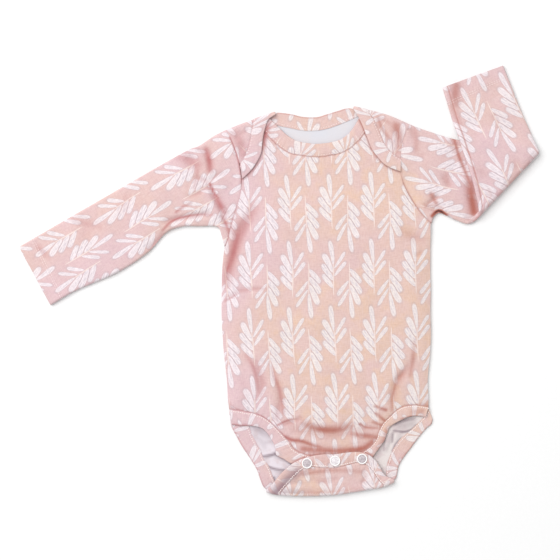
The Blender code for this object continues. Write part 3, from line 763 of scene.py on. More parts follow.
# %% Where the back turns over
SHOULDER_LEFT = ((-53.1, 151.2), (-41.5, 155.8), (-30.1, 160.3), (-19.0, 165.2), (-4.1, 169.6))
SHOULDER_RIGHT = ((74.9, 175.0), (87.0, 172.2), (98.5, 169.2), (112.0, 165.0), (130.5, 156.8))
CROTCH = (
    (-12.6, -211.6),
    (-4.0, -213.6),
    (6.0, -214.9),
    (24.0, -215.4),
    (48.8, -214.8),
    (66.0, -212.9),
    (87.4, -209.3),
    (102.4, -206.8),
    (110.5, -204.4),
    (115.4, -201.6),
)
SHOULDER_LEFT_SEAM_X = -28.0
SHOULDER_RIGHT_SEAM_X = 91.0
CROTCH_SEAM_X = (2.2, 104.0)
print("shoulder to crotch:", round(SHOULDER_RIGHT[0][1] - CROTCH[3][1]), "mm")

# %% Neck, laps and tongue of the back
#    free x  free y   seam x  seam y
NECK_BACK = (
    (-2.0, 168.6, -17.0, 158.7),
    (2.0, 168.4, -8.0, 158.0),
    (7.5, 167.8, 0.5, 155.4),
    (14.0, 166.8, 11.0, 153.2),
    (22.0, 164.7, 21.0, 151.1),
    (30.5, 164.0, 30.0, 150.4),
    (39.0, 164.3, 39.0, 150.8),
    (47.0, 166.7, 48.0, 152.5),
    (54.5, 169.0, 56.7, 155.3),
    (61.0, 171.0, 65.0, 158.6),
    (66.5, 172.7, 73.0, 162.0),
    (71.0, 173.0, 81.0, 165.6),
)
LAP_LEFT = (
    (-10.5, 161.5, -27.2, 152.3),
    (-13.3, 154.3, -28.4, 146.5),
    (-15.3, 147.0, -29.5, 140.5),
    (-16.7, 137.5, -31.0, 134.5),
    (-17.5, 129.0, -33.0, 128.5),
    (-21.0, 120.7, -35.3, 123.0),
    (-26.3, 112.4, -37.5, 119.7),
    (-32.7, 105.4, -38.7, 117.6),
    (-36.8, 102.3, -39.1, 116.4),
)
LAP_RIGHT = (
    (79.9, 162.7, 94.5, 162.0),
    (83.3, 155.5, 97.6, 156.0),
    (86.0, 149.0, 100.2, 150.0),
    (88.7, 142.0, 103.0, 143.2),
    (92.4, 132.7, 106.0, 136.5),
    (97.5, 125.2, 110.5, 130.8),
    (104.0, 117.8, 115.3, 126.7),
    (111.5, 113.0, 119.4, 123.8),
    (121.4, 109.2, 121.7, 122.4),
)
LEG_BACK_LEFT = (
    (-48.2, -144.6, -49.8, -130.5),
    (-46.5, -148.5, -38.5, -136.0),
    (-43.5, -154.0, -30.7, -145.0),
    (-38.0, -164.0, -27.0, -153.5),
    (-32.5, -172.5, -22.7, -162.3),
    (-27.2, -180.5, -18.6, -169.5),
    (-22.2, -189.0, -15.5, -177.5),
    (-19.0, -198.0, -9.5, -187.0),
    (-16.0, -205.5, -5.0, -199.0),
)
BAND_OF_TONGUE = (
    (-6.0, -202.0, 5.0, -207.5),
    (0.5, -194.0, 10.5, -201.5),
    (6.0, -188.5, 16.0, -195.5),
    (13.4, -182.5, 22.5, -189.3),
    (22.0, -178.0, 27.5, -186.4),
    (31.0, -175.3, 33.5, -185.8),
    (43.0, -173.2, 44.0, -186.6),
    (56.0, -173.0, 56.0, -186.6),
    (69.0, -171.3, 69.0, -183.8),
    (79.0, -170.8, 77.5, -181.6),
    (87.0, -172.3, 85.0, -183.0),
    (93.0, -175.8, 89.8, -185.6),
    (99.0, -182.5, 94.3, -191.0),
    (105.6, -193.6, 99.6, -198.9),
)
LEG_BACK_RIGHT = (
    (117.6, -196.8, 106.6, -197.0),
    (119.8, -186.0, 108.3, -183.5),
    (123.0, -179.5, 112.8, -171.5),
    (127.2, -173.6, 117.5, -163.5),
    (132.2, -167.2, 122.6, -157.2),
    (140.2, -156.4, 129.2, -151.8),
    (147.2, -148.2, 137.2, -144.4),
    (152.5, -143.4, 145.2, -136.0),
    (153.8, -138.8, 150.2, -128.5),
)
#    stations of the corners
TONGUE_CORNERS = (4.5, 11.0)
LAP_TIPS = {"left": 8.6, "right": 8.9}
print("tongue:", round(BAND_OF_TONGUE[-1][0] - BAND_OF_TONGUE[0][0]), "mm wide at its foot")

# %% Neck and legs of the front
#    free x  free y   seam x  seam y
NECK_FRONT = (
    (-9.4, 162.6, -24.2, 157.7),
    (-4.5, 157.8, -15.0, 149.7),
    (1.2, 152.4, -7.2, 141.3),
    (8.0, 146.0, 2.0, 133.0),
    (16.0, 141.0, 10.0, 128.2),
    (25.0, 138.6, 21.0, 125.8),
    (34.4, 137.4, 32.0, 124.4),
    (43.5, 137.6, 43.0, 124.4),
    (52.0, 138.8, 53.0, 126.0),
    (60.5, 141.2, 62.0, 128.1),
    (67.0, 145.2, 70.5, 132.4),
    (72.8, 151.2, 79.0, 139.8),
    (77.7, 159.0, 86.0, 148.0),
    (81.0, 165.0, 92.0, 156.5),
    (83.5, 168.4, 96.0, 164.0),
)
LEG_FRONT = (
    (-47.5, -143.6, -49.7, -128.0),
    (-38.5, -144.8, -38.0, -129.6),
    (-28.0, -144.9, -24.0, -132.6),
    (-18.5, -146.8, -14.0, -137.0),
    (-12.5, -151.4, -5.0, -144.6),
    (-6.5, -160.5, 4.5, -154.4),
    (-3.4, -168.5, 11.0, -162.0),
    (-2.8, -174.0, 15.0, -167.5),
    (5.0, -178.3, 20.0, -171.0),
    (14.0, -183.5, 27.0, -173.5),
    (33.0, -188.2, 37.0, -174.6),
    (54.0, -188.8, 54.0, -175.0),
    (76.0, -187.6, 71.0, -173.8),
    (89.0, -183.5, 80.0, -171.8),
    (94.2, -175.5, 87.0, -169.0),
    (99.8, -167.8, 92.0, -165.4),
    (105.3, -160.0, 97.5, -158.4),
    (108.0, -153.0, 100.0, -150.5),
    (110.8, -146.4, 104.5, -142.3),
    (115.8, -142.6, 111.3, -135.5),
    (124.0, -138.4, 119.7, -127.8),
    (130.5, -135.9, 128.0, -124.6),
    (138.0, -135.0, 138.5, -124.2),
    (146.5, -136.2, 149.5, -126.0),
)
#    stations of the corners
FLAP_CORNERS = (7.5, 13.8)
print("neck:", round(NECK_FRONT[-1][0] - NECK_FRONT[0][0]), "mm wide")

# %% [markdown]
# ## Folds and armholes
# The back panel is the long one. It turns over at each shoulder and lies on the front as a lap, which is
# what lets the neck stretch over a baby's head, and it turns over at the crotch as the tongue with the
# snaps. A turn is a half circle about a line, and the cloth's own length runs on round it.

# %% Folds
FOLD_STEPS = 14


def raised(plan, height):
    """Plan points, all brought to one height, or to a height each."""
    plan = np.asarray(plan, float)
    height = np.broadcast_to(height, plan.shape[:-1])
    return np.concatenate([plan, height[..., None]], axis=-1)


class Fold:
    """A place where the back panel turns over, given by the outside of the turn from left to right."""

    def __init__(self, outline, side):
        self.line = spline(outline)
        run = self.line[-1] - self.line[0]
        self.out = side * np.array((-run[1], run[0])) / np.linalg.norm(run)
        self.along = run / np.linalg.norm(run)

    def base(self, x):
        """Where the turn starts, on the surface below, for points of the outline at x."""
        return read(self.line, np.atleast_1d(x), self.line[:, 0]) - FOLD_RADIUS * self.out

    def crossing(self, free_x, seam_x):
        """The station of a binding that crosses the fold."""
        return np.concatenate([self.base(free_x)[0], self.base(seam_x)[0]])

    def turn(self, base):
        """Rows of points over the turn, from the lower level up, with their places on the cloth."""
        angle = np.linspace(0, pi, FOLD_STEPS + 1)[:, None]
        plan = base[None] + FOLD_RADIUS * np.sin(angle)[..., None] * self.out
        rows = raised(plan, FOLD_RADIUS * (1 - np.cos(angle)))
        return rows, base[None] + FOLD_RADIUS * angle[..., None] * self.out

    def cloth(self, plan):
        """Places on the cloth of points that have turned over."""
        base = self.line - FOLD_RADIUS * self.out
        inwards = np.interp(plan @ self.along, base @ self.along, base @ self.out) - plan @ self.out
        return plan + (2 * inwards + pi * FOLD_RADIUS)[..., None] * self.out


shoulder_left = Fold(SHOULDER_LEFT, 1)
shoulder_right = Fold(SHOULDER_RIGHT, 1)
crotch = Fold(CROTCH, -1)
print("a turn takes", round(pi * FOLD_RADIUS, 1), "mm of cloth")

# %% Armholes
ARMHOLE_ROWS = 11 * FINE
SLEEVE_UNDERARM = 3.2
ARMPIT_EASE = 0.8


class Armhole:
    """The seam round an armhole, from the shoulder's outline to the armpit, with the places of its points."""

    def __init__(self, points, fold, end):
        outline = fold.line[end]
        self.line = np.vstack([outline, spline([outline - FOLD_RADIUS * fold.out, *points])])
        self.measure = lengths(self.line)
        last = self.measure[-1]
        self.places = np.linspace(FOLD_RADIUS, last - SLEEVE_UNDERARM / 2, ARMHOLE_ROWS + 1)
        self.points = self.at([*self.places[:-1], last])
        self.points[-1, 0] += ARMPIT_EASE if end == 0 else -ARMPIT_EASE

    def at(self, places):
        return read(self.line, places, self.measure)


armhole_left = Armhole(ARMHOLE_LEFT, shoulder_left, 0)
armhole_right = Armhole(ARMHOLE_RIGHT, shoulder_right, -1)
print("armholes:", round(armhole_left.measure[-1]), "and", round(armhole_right.measure[-1]), "mm")

# %% [markdown]
# ## From rows of points to a shell of cloth
# A sheet of points becomes a mesh in one call, its doubles are merged, and its open edges are cut back by
# half a seam's gap. Solidify then gives the outer face its wall, inwards. The wall's second side takes the
# next material, so the plain inside of the cloth shows wherever the garment is open. A Cloth simulation could
# drape it, but it would move the seams off their measured places.


# %% A sheet of points as a mesh
def cloth_mesh(name, patches):
    """A surface from patches, each the rows of its points, their places on the cloth, and their painted
    shade.
    """
    points, faces, cloth, painted_shade = [], [], [], []
    for rows, places, drawn in patches:
        first = sum(len(part) for part in points)
        index = first + np.arange(rows.shape[0] * rows.shape[1]).reshape(rows.shape[:2])
        corners = [index[:-1, :-1], index[:-1, 1:], index[1:, 1:], index[1:, :-1]]
        faces.append(np.stack(corners, axis=-1).reshape(-1, 4))
        points.append(rows.reshape(-1, 3))
        cloth.append(places.reshape(-1, 2))
        painted_shade.append(np.broadcast_to(drawn, rows.shape[:2]).ravel())
    faces = np.concatenate(faces)
    mesh = bpy.data.meshes.new(name)
    mesh.from_pydata(np.concatenate(points) * MM, [], faces.tolist())
    uv = mesh.uv_layers.new(name="cloth")
    uv.data.foreach_set("uv", (np.concatenate(cloth)[faces.ravel()] * MM).ravel())
    # the attribute of painted shade
    mesh.attributes.new("painted_shade", "FLOAT", "POINT").data.foreach_set("value", np.concatenate(painted_shade))
    return mesh


# %% Sewing a shell
def cut_back(surface, width):
    """Moves the open edges of a surface inwards along it."""
    moves = {}
    for vert in surface.verts:
        inwards = []
        for edge in vert.link_edges:
            if edge.is_boundary:
                along = (edge.verts[1].co - edge.verts[0].co).normalized()
                to_face = edge.link_faces[0].calc_center_median() - vert.co
                inwards.append((to_face - to_face.dot(along) * along).normalized())
        if inwards:
            first, second = inwards
            moves[vert] = (first + second) * width / (1 + first.dot(second))
    for vert, move in moves.items():
        vert.co += move


def sew(name, patches, wall, facing, material, gap=SEAM_GAP):
    """Makes one piece of cloth, whose first face looks up or down as facing says, in place of its solid."""
    mesh = cloth_mesh(name, patches)
    surface = bmesh.new()
    surface.from_mesh(mesh)
    bmesh.ops.remove_doubles(surface, verts=surface.verts, dist=WELD * MM)
    bmesh.ops.recalc_face_normals(surface, faces=surface.faces)
    surface.faces.ensure_lookup_table()
    if surface.faces[0].normal.z * facing < 0:
        bmesh.ops.reverse_faces(surface, faces=surface.faces)
    cut_back(surface, gap / 2 * MM)
    for edge in surface.edges:
        edge.smooth = not edge.is_boundary
    surface.to_mesh(mesh)
    surface.free()
    mesh.shade_smooth()
    mesh.materials.append(material)
    mesh.materials.append(inside)
    piece = add_object(name, mesh)
    thickness = piece.modifiers.new("wall", "SOLIDIFY")
    thickness.thickness = wall * MM
    thickness.offset = -1.0
    thickness.use_even_offset = True
    thickness.material_offset = 1
    thickness.material_offset_rim = 0
    return piece


print("gaps at the seams:", SEAM_GAP, "mm, at the armholes", SLEEVE_GAP, "mm")

# %% The sides of the body
SIDE_ROWS = 11 * FINE


def body_edge(leg, column, armhole):
    """One side of a body panel, upwards: the leg's seam, the side seam and the armhole."""
    side = spline([(row[column], row[0]) for row in BODY])
    side = evenly(np.vstack([side, armhole.points[-1]]), SIDE_ROWS)
    return np.vstack([leg, side, armhole.points[-2::-1]])


print("rows of points:", SIDE_ROWS, "at a side seam and", ARMHOLE_ROWS, "at an armhole")

# %% [markdown]
# ## The front panel
# The front lies on the back, so it is lowest at its side seams and rises to a soft crown of a few
# millimetres. Its creases follow the pull of the armholes, and the gathers of its two bindings. Sculpting
# could place them by eye, but a table keeps each one where it can be found and changed.

# %% Creases of the front
#    run, width, rise
FRONT_CREASES = (
    (((-23, 76), (-38, 47), (-48, 17), (-53, -8)), 6.5, -2.0),
    (((-33, 66), (-46, 40), (-52, 22)), 3.0, -0.6),
    (((-40, -9), (-28, -8), (-16, -9.5)), 2.6, -0.9),
    (((-54, -19), (-40, -10)), 3.0, -0.9),
    (((-25, -79), (-17, -102), (-22, -120)), 5.2, -1.2),
    (((-1, -99), (2, -119), (-4, -143)), 4.5, -1.2),
    (((-38, -96), (-33, -112), (-38, -124)), 5.0, -0.3),
    (((0, -144), (12, -141), (24, -136)), 3.0, -1.3),
    (((11, -147), (50, -153), (90, -149)), 6.0, -1.2),
    (((21, -164), (55, -168), (91, -161)), 4.0, -0.7),
    (((132, -82), (117, -103), (113, -124)), 5.2, -1.3),
    (((125, -91), (117, -99)), 2.6, -0.8),
    (((83, -144), (92, -146), (101, -147)), 2.2, -0.7),
    (((81, -156), (97, -154)), 2.2, -0.6),
    (((136, 24), (144, 30)), 2.6, -1.1),
    (((120, 52), (134, 44), (146, 40)), 6.0, -0.8),
    (((-12, 40), (-18, -20), (-14, -60)), 15.0, 0.8),
    (((134, 24), (132, -60)), 12.0, 0.7),
    (((60, -120), (62, -150)), 9.0, 0.5),
)
SIDE_SEAM_RIGHT = ((147.6, -50), (148.2, -90), (149.2, -128))
SIDE_SEAM_SINK = (0.4, 0.9)
print("creases of the front:", len(FRONT_CREASES))


# %% Where shade is painted on the front
def free_edge(table):
    return [row[:2] for row in table]


# painted shade on the front: under the free edges of the laps and the tongue, along the armholes, in its
# creases and beside the leg binding; a strength over 1 paints the black of a pit
#    run, strengths along it, reach
SHADE_UNDER_EDGES = (
    (free_edge(LAP_LEFT), (0.5, 0.5, 0.4, 0.55), 1.9),
    (((-9, 162), (-12, 153), (-14.5, 143), (-16, 134), (-20, 126)), (0.3, 0.8, 0.9, 0.7, 0.3), 3),
    (((-6, 159.8), (-1, 157.4), (5, 155.4)), (1.0, 1.3, 0.7), 0.9),
    (free_edge(LAP_RIGHT), (0.75, 0.65, 0.5), 1.4),
    (free_edge(BAND_OF_TONGUE), (0.3, 0.45, 0.7, 0.7, 0.6, 0.8, 0.6), 1.6),
)
ARMHOLE_SHADES = (
    (ARMHOLE_LEFT, (0.7, 0.85, 0.8, 0.6, 0.15, 0.15, 0.5, 0.7, 0.5), 0.9),
    (ARMHOLE_RIGHT, (0.15, 0.1, 0.1, 0.45, 0.6, 0.6, 0.5), 0.8),
)
FRONT_SHADES = (
    (((-36, 59), (-42, 43), (-46, 27), (-50, 13), (-53, -1)), (0.5, 0.8, 0.9, 0.75, 0.4), 5.2),
    (((-48, 23), (-51, 13), (-53, 3)), (0.7, 1, 0.5), 1.6),
    (((-41, 37), (-45, 47), (-48, 55)), (0.7, 0.65, 0.3), 2.4),
    (((-54, -20), (-45, -15), (-39, -11)), (0.4, 0.65, 0.2), 1.2),
    (((-39, -10), (-27, -8), (-13, -8)), (0.35, 0.4, 0.2), 2),
    (((-33, -74), (-26, -85), (-22, -99), (-20, -112)), (0.3, 0.6, 0.55, 0.35), 2.2),
    (((-7, -87), (-3, -99), (1, -111), (4, -131)), (0.3, 0.6, 0.6, 0.4), 2.6),
    (((135, -61), (134, -77), (131, -94)), (0.3, 0.6, 0.45), 2.4),
    (((118, -91), (116, -105), (113, -117), (113, -129)), (0.25, 0.7, 0.7, 0.5), 1.8),
    (((-1, -144), (5, -141), (12, -138.5), (21, -138)), (0.75, 0.8, 0.7, 0.2), 1.3),
    (((26, -143), (39, -148), (56, -149), (71, -145)), (0.5, 0.95, 0.9, 0.5), 4.6),
    (((73, -152.5), (84, -154.5), (98, -156.5)), (0.6, 0.85, 0.7), 3.2),
    (((4, -155), (13, -159), (22, -160), (33, -164), (46, -168)), (0.85, 0.95, 0.9, 0.8, 0.6), 2.2),
    (
        ((24, -168), (39, -169), (56, -170), (73, -169), (85, -167), (93, -161)),
        (0.75, 0.8, 0.85, 0.9, 1, 0.8),
        3.6,
    ),
    (((81, -143), (86, -146), (93, -147), (102, -147)), (0.9, 0.75, 0.6, 0.4), 1.5),
    (((96, -125), (107, -129)), (0.6, 0.9), 1.6),
    (((97, -132), (106, -140)), (0.6, 0.95), 1.6),
    (((94, -141), (103, -144.5)), (0.6, 0.9), 1.6),
)
LEG_SHADES = (
    (((-46, -144), (-38, -144.5), (-28, -145), (-20, -148)), (0.75, 0.7, 0.6, 0.3), 1.3),
    (((-27, -146), (-24, -148)), (0.8, 0.7), 1.6),
    (((122, -138), (132, -135.5), (143, -135)), (0.5, 0.7, 0.5), 1.2),
    (((119, -150), (109, -149), (105, -159), (99, -168)), (0.5, 0.55, 0.5, 0.3), 2.8),
    (((133, -131), (143, -130)), (0.35, 0.45), 3),
)
print("shades of the front:", len(FRONT_SHADES))

# %% How high the front lies
FRONT_EDGE = 3.6
FRONT_SIDE = 2.7
FRONT_CROWN = 2.7
CROWN_INSET = 16.0
CROWN_FROM = (-172.0, -122.0)
CROWN_TO = (58.0, 106.0)
SIDE_INSET = 4.0
SIDE_FROM = (-126.0, -112.0)
SIDE_TO = (30.0, 48.0)
FOLD_INSET = 3.0
FLAT_FOLDS = 0.35  # share of the creases' rise where there is no crown
FLAT_WAVES = 0.3
UNDER_LAPS = 4.3
COVERED = (100.0, 112.0)
# painted shade along the neck and leg seams, and how far it reaches
SEAM_SHADES = (0.4, 0.6)
SEAM_REACH = 0.9


def front_height(plan, edges, seams):
    """Outer face of the front: low at the side seams, crowned in the middle, with its creases, and the shade
    painted on it.
    """
    x, y = plan[..., 0], plan[..., 1]
    inset = np.min([nearest(edge, x, y)[0] for edge in edges], axis=0)
    crown = smooth_step(y, *CROWN_FROM) * (1 - smooth_step(y, *CROWN_TO)) * (1 - np.exp(-inset / CROWN_INSET))
    at_side = smooth_step(y, *SIDE_FROM) * (1 - smooth_step(y, *SIDE_TO)) * np.exp(-inset / SIDE_INSET)
    folds = relief(FRONT_CREASES, x, y) * (1 - np.exp(-inset / FOLD_INSET))
    height = FRONT_EDGE + FRONT_CROWN * crown - (FRONT_EDGE - FRONT_SIDE) * at_side
    height += folds * (FLAT_FOLDS + (1 - FLAT_FOLDS) * crown) + waves(x, y) * (FLAT_WAVES + crown)
    for seam in seams:
        height += puckers(seam, x, y) - sunk(seam, x, y)
    height -= sunk(spline(SIDE_SEAM_RIGHT), x, y, *SIDE_SEAM_SINK)
    height = np.maximum(height, FRONT_SIDE)
    covered = smooth_step(y, *COVERED)
    height = height * (1 - covered) + np.minimum(height, UNDER_LAPS) * covered
    # painted shade along the seams, under the edges of the laps and the tongue, at the armholes and in the
    # creases
    shades = [(seam, (strength,), SEAM_REACH) for seam, strength in zip(seams, SEAM_SHADES)]
    shades = [*shades, *SHADE_UNDER_EDGES, *ARMHOLE_SHADES, *FRONT_SHADES]
    return height, shaded(valley_shade(folds), shades, x, y)


print("front: up to", FRONT_EDGE + FRONT_CROWN, "mm high before its creases")

# %% The front panel
FRONT_COLUMNS = np.multiply((3, 15, 4), FINE)
LEG_ROWS = 8 * FINE
NECK_SAMPLES = 60
LEG_SAMPLES = 90
SIDE_SAMPLES = 120


def make_front():
    """The front panel, and the stations of its two bindings."""
    columns = sum(FRONT_COLUMNS)
    neck = evenly(spline(NECK_FRONT), FRONT_COLUMNS[1])
    legs = divided(spline(LEG_FRONT), FLAP_CORNERS, (LEG_ROWS, columns, LEG_ROWS))
    seam = legs[:, 2:]
    left = body_edge(seam[LEG_ROWS::-1], 1, armhole_left)
    right = body_edge(seam[-LEG_ROWS - 1 :], 2, armhole_right)
    under_left = evenly(np.array([left[-1], neck[0, 2:]]), FRONT_COLUMNS[0])
    under_right = evenly(np.array([neck[-1, 2:], right[-1]]), FRONT_COLUMNS[2])
    top = np.vstack([under_left[:-1], neck[:, 2:], under_right[1:]])
    plan = between(left, right, seam[LEG_ROWS:-LEG_ROWS], top)
    seams = [evenly(neck[:, 2:], NECK_SAMPLES), evenly(seam, LEG_SAMPLES)]
    edges = [evenly(left, SIDE_SAMPLES), evenly(right, SIDE_SAMPLES), seams[1]]
    height, painted_shade = front_height(plan, edges, seams)
    rows = [(raised(plan, height), plan, painted_shade)]
    return sew("front", rows, WALL, 1, front_jersey), neck, legs


front_jersey = printed_jersey("jersey_front", (1.4, 0.8), -1.4)
front, neck_front, legs_front = make_front()
print("front:", len(front.data.polygons), "faces")

# %% [markdown]
# ## Bindings
# The neck and the legs are bound: a strip of the same jersey is folded over the raw edge and sewn down. It
# is a little stretched, so it pulls small gathers. A curve with a bevelled section would be quicker, but its
# section couldn't widen, turn over a fold and carry creases and their painted shade. So a binding is drawn as
# a closed tube with a flat section, round at its free edge, carried along the stations of its table. At each
# station the outer face has a free point, a seam point and a direction out of the cloth.

# %% A binding's section
BAND_POINTS = 14
EDGE_STEPS = 6
PUFF = 0.3
SEAM_DIP = 0.45
#    depth, inset from the seam, width
GROOVE = (0.3, 1.6, 0.8)
GROOVE_SHADE = 0.35
# painted shade in the groove, and round the free edge where it turns under
FREE_EDGE_SHADE = 0.4
FREE_EDGE_DEPTHS = (0.2, 0.9)


def section(width, puff, seam_shade):
    """A binding's section: distances from its free edge, depths below its outer face, and the shade painted
    on it.
    """
    radius = BAND / 2
    turn = np.linspace(-pi / 2, pi / 2, EDGE_STEPS + 1)
    free = radius * (1 - np.cos(turn))
    depth = radius * (1 + np.sin(turn))
    across = np.linspace(radius, width, BAND_POINTS + 1)[1:]
    groove = GROOVE[0] * np.exp(-(((across - width + GROOVE[1]) / GROOVE[2]) ** 2))
    outer = (groove - PUFF * np.sin(pi * across / width)) * puff
    outer[-1] = SEAM_DIP * puff
    flat = np.full(len(across), BAND)
    # painted shade: in the groove, along the seam and round the free edge
    outer_shade = GROOVE_SHADE * groove
    outer_shade[-1] = seam_shade
    painted_shade = [outer_shade[::-1], FREE_EDGE_SHADE * smooth_step(depth, *FREE_EDGE_DEPTHS), flat * 0]
    return np.concatenate([across[::-1], free, across]), np.concatenate([outer[::-1], depth, flat]), painted_shade


print("a binding's section has", 2 * BAND_POINTS + EDGE_STEPS + 1, "points")

# %% A binding along its stations
#    radians a mm, start, share
GATHERS = ((1.21, 0.0, 1.0), (0.73, 1.0, 0.6))
GATHER_RISE = 0.16


def bind(stations, out, seam_shade, shades, gap=SEAM_GAP):
    """Rings of a binding and the shade painted on them, from rows of (free point, seam point) on its outer
    face and its directions out.
    """
    free, seam = stations[:, 0], stations[:, 1]
    place = running(np.linalg.norm(np.diff((free + seam) / 2, axis=0), axis=1))
    # creases holds the shade painted on each ring
    rings, creases = [], []
    for at, a, b, away in zip(place, free, seam, out):
        width = np.linalg.norm(b - a) - gap
        puff = np.clip(away[2] + 1, 0, 1)
        run, depth, painted_shade = section(width, puff, seam_shade)
        gather = GATHER_RISE * puff * ripple(at, GATHERS) * run / width
        point = a + run[:, None] * (b - a) / np.linalg.norm(b - a)
        rings.append(point - (depth + gather * (depth < BAND / 2))[:, None] * away)
        creases.append(np.concatenate(painted_shade))
    rings = np.array(rings)
    return rings, shaded(np.array(creases), shades, rings[..., 0], rings[..., 1])


def level(stations, height, facing):
    """A binding's stations on one level, with the direction out of its outer face."""
    pairs = np.stack([raised(stations[:, :2], height), raised(stations[:, 2:], height)], axis=1)
    return pairs, np.broadcast_to((0.0, 0.0, facing), (len(stations), 3))


def turned(fold, station):
    """A binding's stations over a fold."""
    rows, _ = fold.turn(np.array([station[:2], station[2:]]))
    angle = np.linspace(0, pi, FOLD_STEPS + 1)[:, None]
    return rows, np.hstack([np.sin(angle) * fold.out, -np.cos(angle)])


print("a binding has", FOLD_STEPS, "steps over a fold")

# %% Sewing a binding
SHARP_ANGLE = radians(50)


def sew_binding(name, runs, material, seam_shade, shades=()):
    """A binding from runs of stations that follow each other."""
    pairs = np.concatenate([runs[0][0], *(run[0][1:] for run in runs[1:])])
    out = np.concatenate([runs[0][1], *(run[1][1:] for run in runs[1:])])
    # creases holds the shade painted on the binding
    rings, creases = bind(pairs, out, seam_shade, shades)
    along = running(np.linalg.norm(np.diff(rings.mean(axis=1), axis=0), axis=1))
    around = running(np.linalg.norm(np.diff(rings, axis=1), axis=2).mean(axis=0))
    closed = np.concatenate([rings, rings[:, :1]], axis=1)
    across = np.append(around, 2 * around[-1] - around[-2])
    cloth = np.stack(np.broadcast_arrays(along[:, None], across[None]), axis=-1)
    creases = np.concatenate([creases, creases[:, :1]], axis=1)
    mesh = cloth_mesh(name, [(closed, cloth, creases)])
    shape = bmesh.new()
    shape.from_mesh(mesh)
    bmesh.ops.remove_doubles(shape, verts=shape.verts, dist=WELD * MM)
    ends = [edge for edge in shape.edges if edge.is_boundary]
    bmesh.ops.holes_fill(shape, edges=ends)
    bmesh.ops.recalc_face_normals(shape, faces=shape.faces)
    shape.to_mesh(mesh)
    shape.free()
    mesh.shade_smooth()
    mesh.set_sharp_from_angle(angle=SHARP_ANGLE)
    mesh.materials.append(material)
    return add_object(name, mesh), rings


print("edges over", round(SHARP_ANGLE * 180 / pi), "degrees stay sharp")

# %% The front bindings
FRONT_TRIM = 3.9
# painted shade along the seams of the front bindings
NECK_FRONT_SEAM_SHADE = 0.65
LEG_FRONT_SEAM_SHADE = 0.6
neck_front_jersey = printed_jersey("jersey_neck_front", (6.0, 11.0))
leg_front_jersey = printed_jersey("jersey_leg_front", (13.0, 31.0))
neck_run = level(neck_front, FRONT_TRIM, 1)
leg_run = level(legs_front, FRONT_TRIM, 1)
neck_binding_front, neck_front_rings = sew_binding(
    "neck_binding_of_front", [neck_run], neck_front_jersey, NECK_FRONT_SEAM_SHADE, SHADE_UNDER_EDGES
)
leg_binding_front, leg_front_rings = sew_binding(
    "leg_binding_of_front", [leg_run], leg_front_jersey, LEG_FRONT_SEAM_SHADE, SHADE_UNDER_EDGES + LEG_SHADES
)
print("front bindings:", len(neck_binding_front.data.polygons), len(leg_binding_front.data.polygons), "faces")

# %% [markdown]
# ## The back panel, its laps and its tongue
# The back lies face down, so its plain inside looks up through the neck and the legs. The laps and the
# tongue could be pieces of their own, but they are the same sheet carried on over the folds. So its print
# follows the cloth's own length, which turns the sprigs over with it. Where it is bare it carries the small
# creases of cloth that lies loose.

# %% Creases of the back
#    run, width, rise
BACK_CREASES = (
    (((-17, -177), (-6, -173), (2, -167)), 2.2, 1.1),
    (((-6, -174), (4, -178), (13, -183)), 2.2, 1.0),
    (((-9, -187), (5, -191)), 2.4, 0.8),
    (((-30, -152), (-20, -158), (-14, -168)), 3.0, 0.8),
    (((113, -150), (106, -171)), 2.6, 0.9),
    (((121, -149), (116, -166)), 2.6, 0.7),
)
LAP_CREASES = (
    (((96, 160), (103, 152), (108, 146)), 2.4, -0.7),
    (((97, 162), (106, 160), (114, 156)), 2.4, -0.8),
    (((98, 165), (107, 167)), 2.2, -0.5),
    (((-30, 152), (-38, 147), (-44, 140)), 3.0, -0.6),
    (((-32, 140), (-40, 128)), 3.4, -0.5),
    (((106, 146), (114, 138), (118, 130)), 3.4, -0.6),
)
TONGUE_CREASES = (
    (((10, -203), (16, -200), (24, -203)), 3.0, -0.8),
    (((30, -196), (44, -200), (60, -197)), 4.0, -0.5),
    (((84, -188), (86, -196), (82, -204)), 3.0, -0.7),
)
print("creases of the back:", len(BACK_CREASES + LAP_CREASES + TONGUE_CREASES))

# %% Where shade is painted on the back
# painted shade on the laps, the tongue, inside the leg openings and on the tongue's band
#    run, strengths along it, reach
LAP_SHADES = (
    (((117, 155), (120, 142), (118, 130)), (0.7, 0.7, 0.4), 4.6),
    (((99, 163), (103, 152), (109, 144)), (0.5, 0.6, 0.4), 2),
    (((-44, 147), (-39, 138), (-36, 127)), (0.35, 0.45, 0.4), 5),
    (((-34, 131), (-30, 120)), (0.4, 0.45), 4),
)
TONGUE_SHADES = (
    (((104, -183), (109, -189), (112, -198)), (0.9, 1.1, 0.6), 2.5),
    (((102, -181), (106, -185), (112, -186)), (0.8, 0.8, 0.4), 1.3),
    (((6, -212), (41, -214), (81, -211)), (0.5, 0.5, 0.35), 5),
    (((15, -197), (22, -192), (31, -189)), (0.5, 0.6, 0.4), 3),
    (((24, -193), (43, -190), (66, -189), (83, -191)), (0.55, 0.5, 0.35, 0.35), 2.5),
)
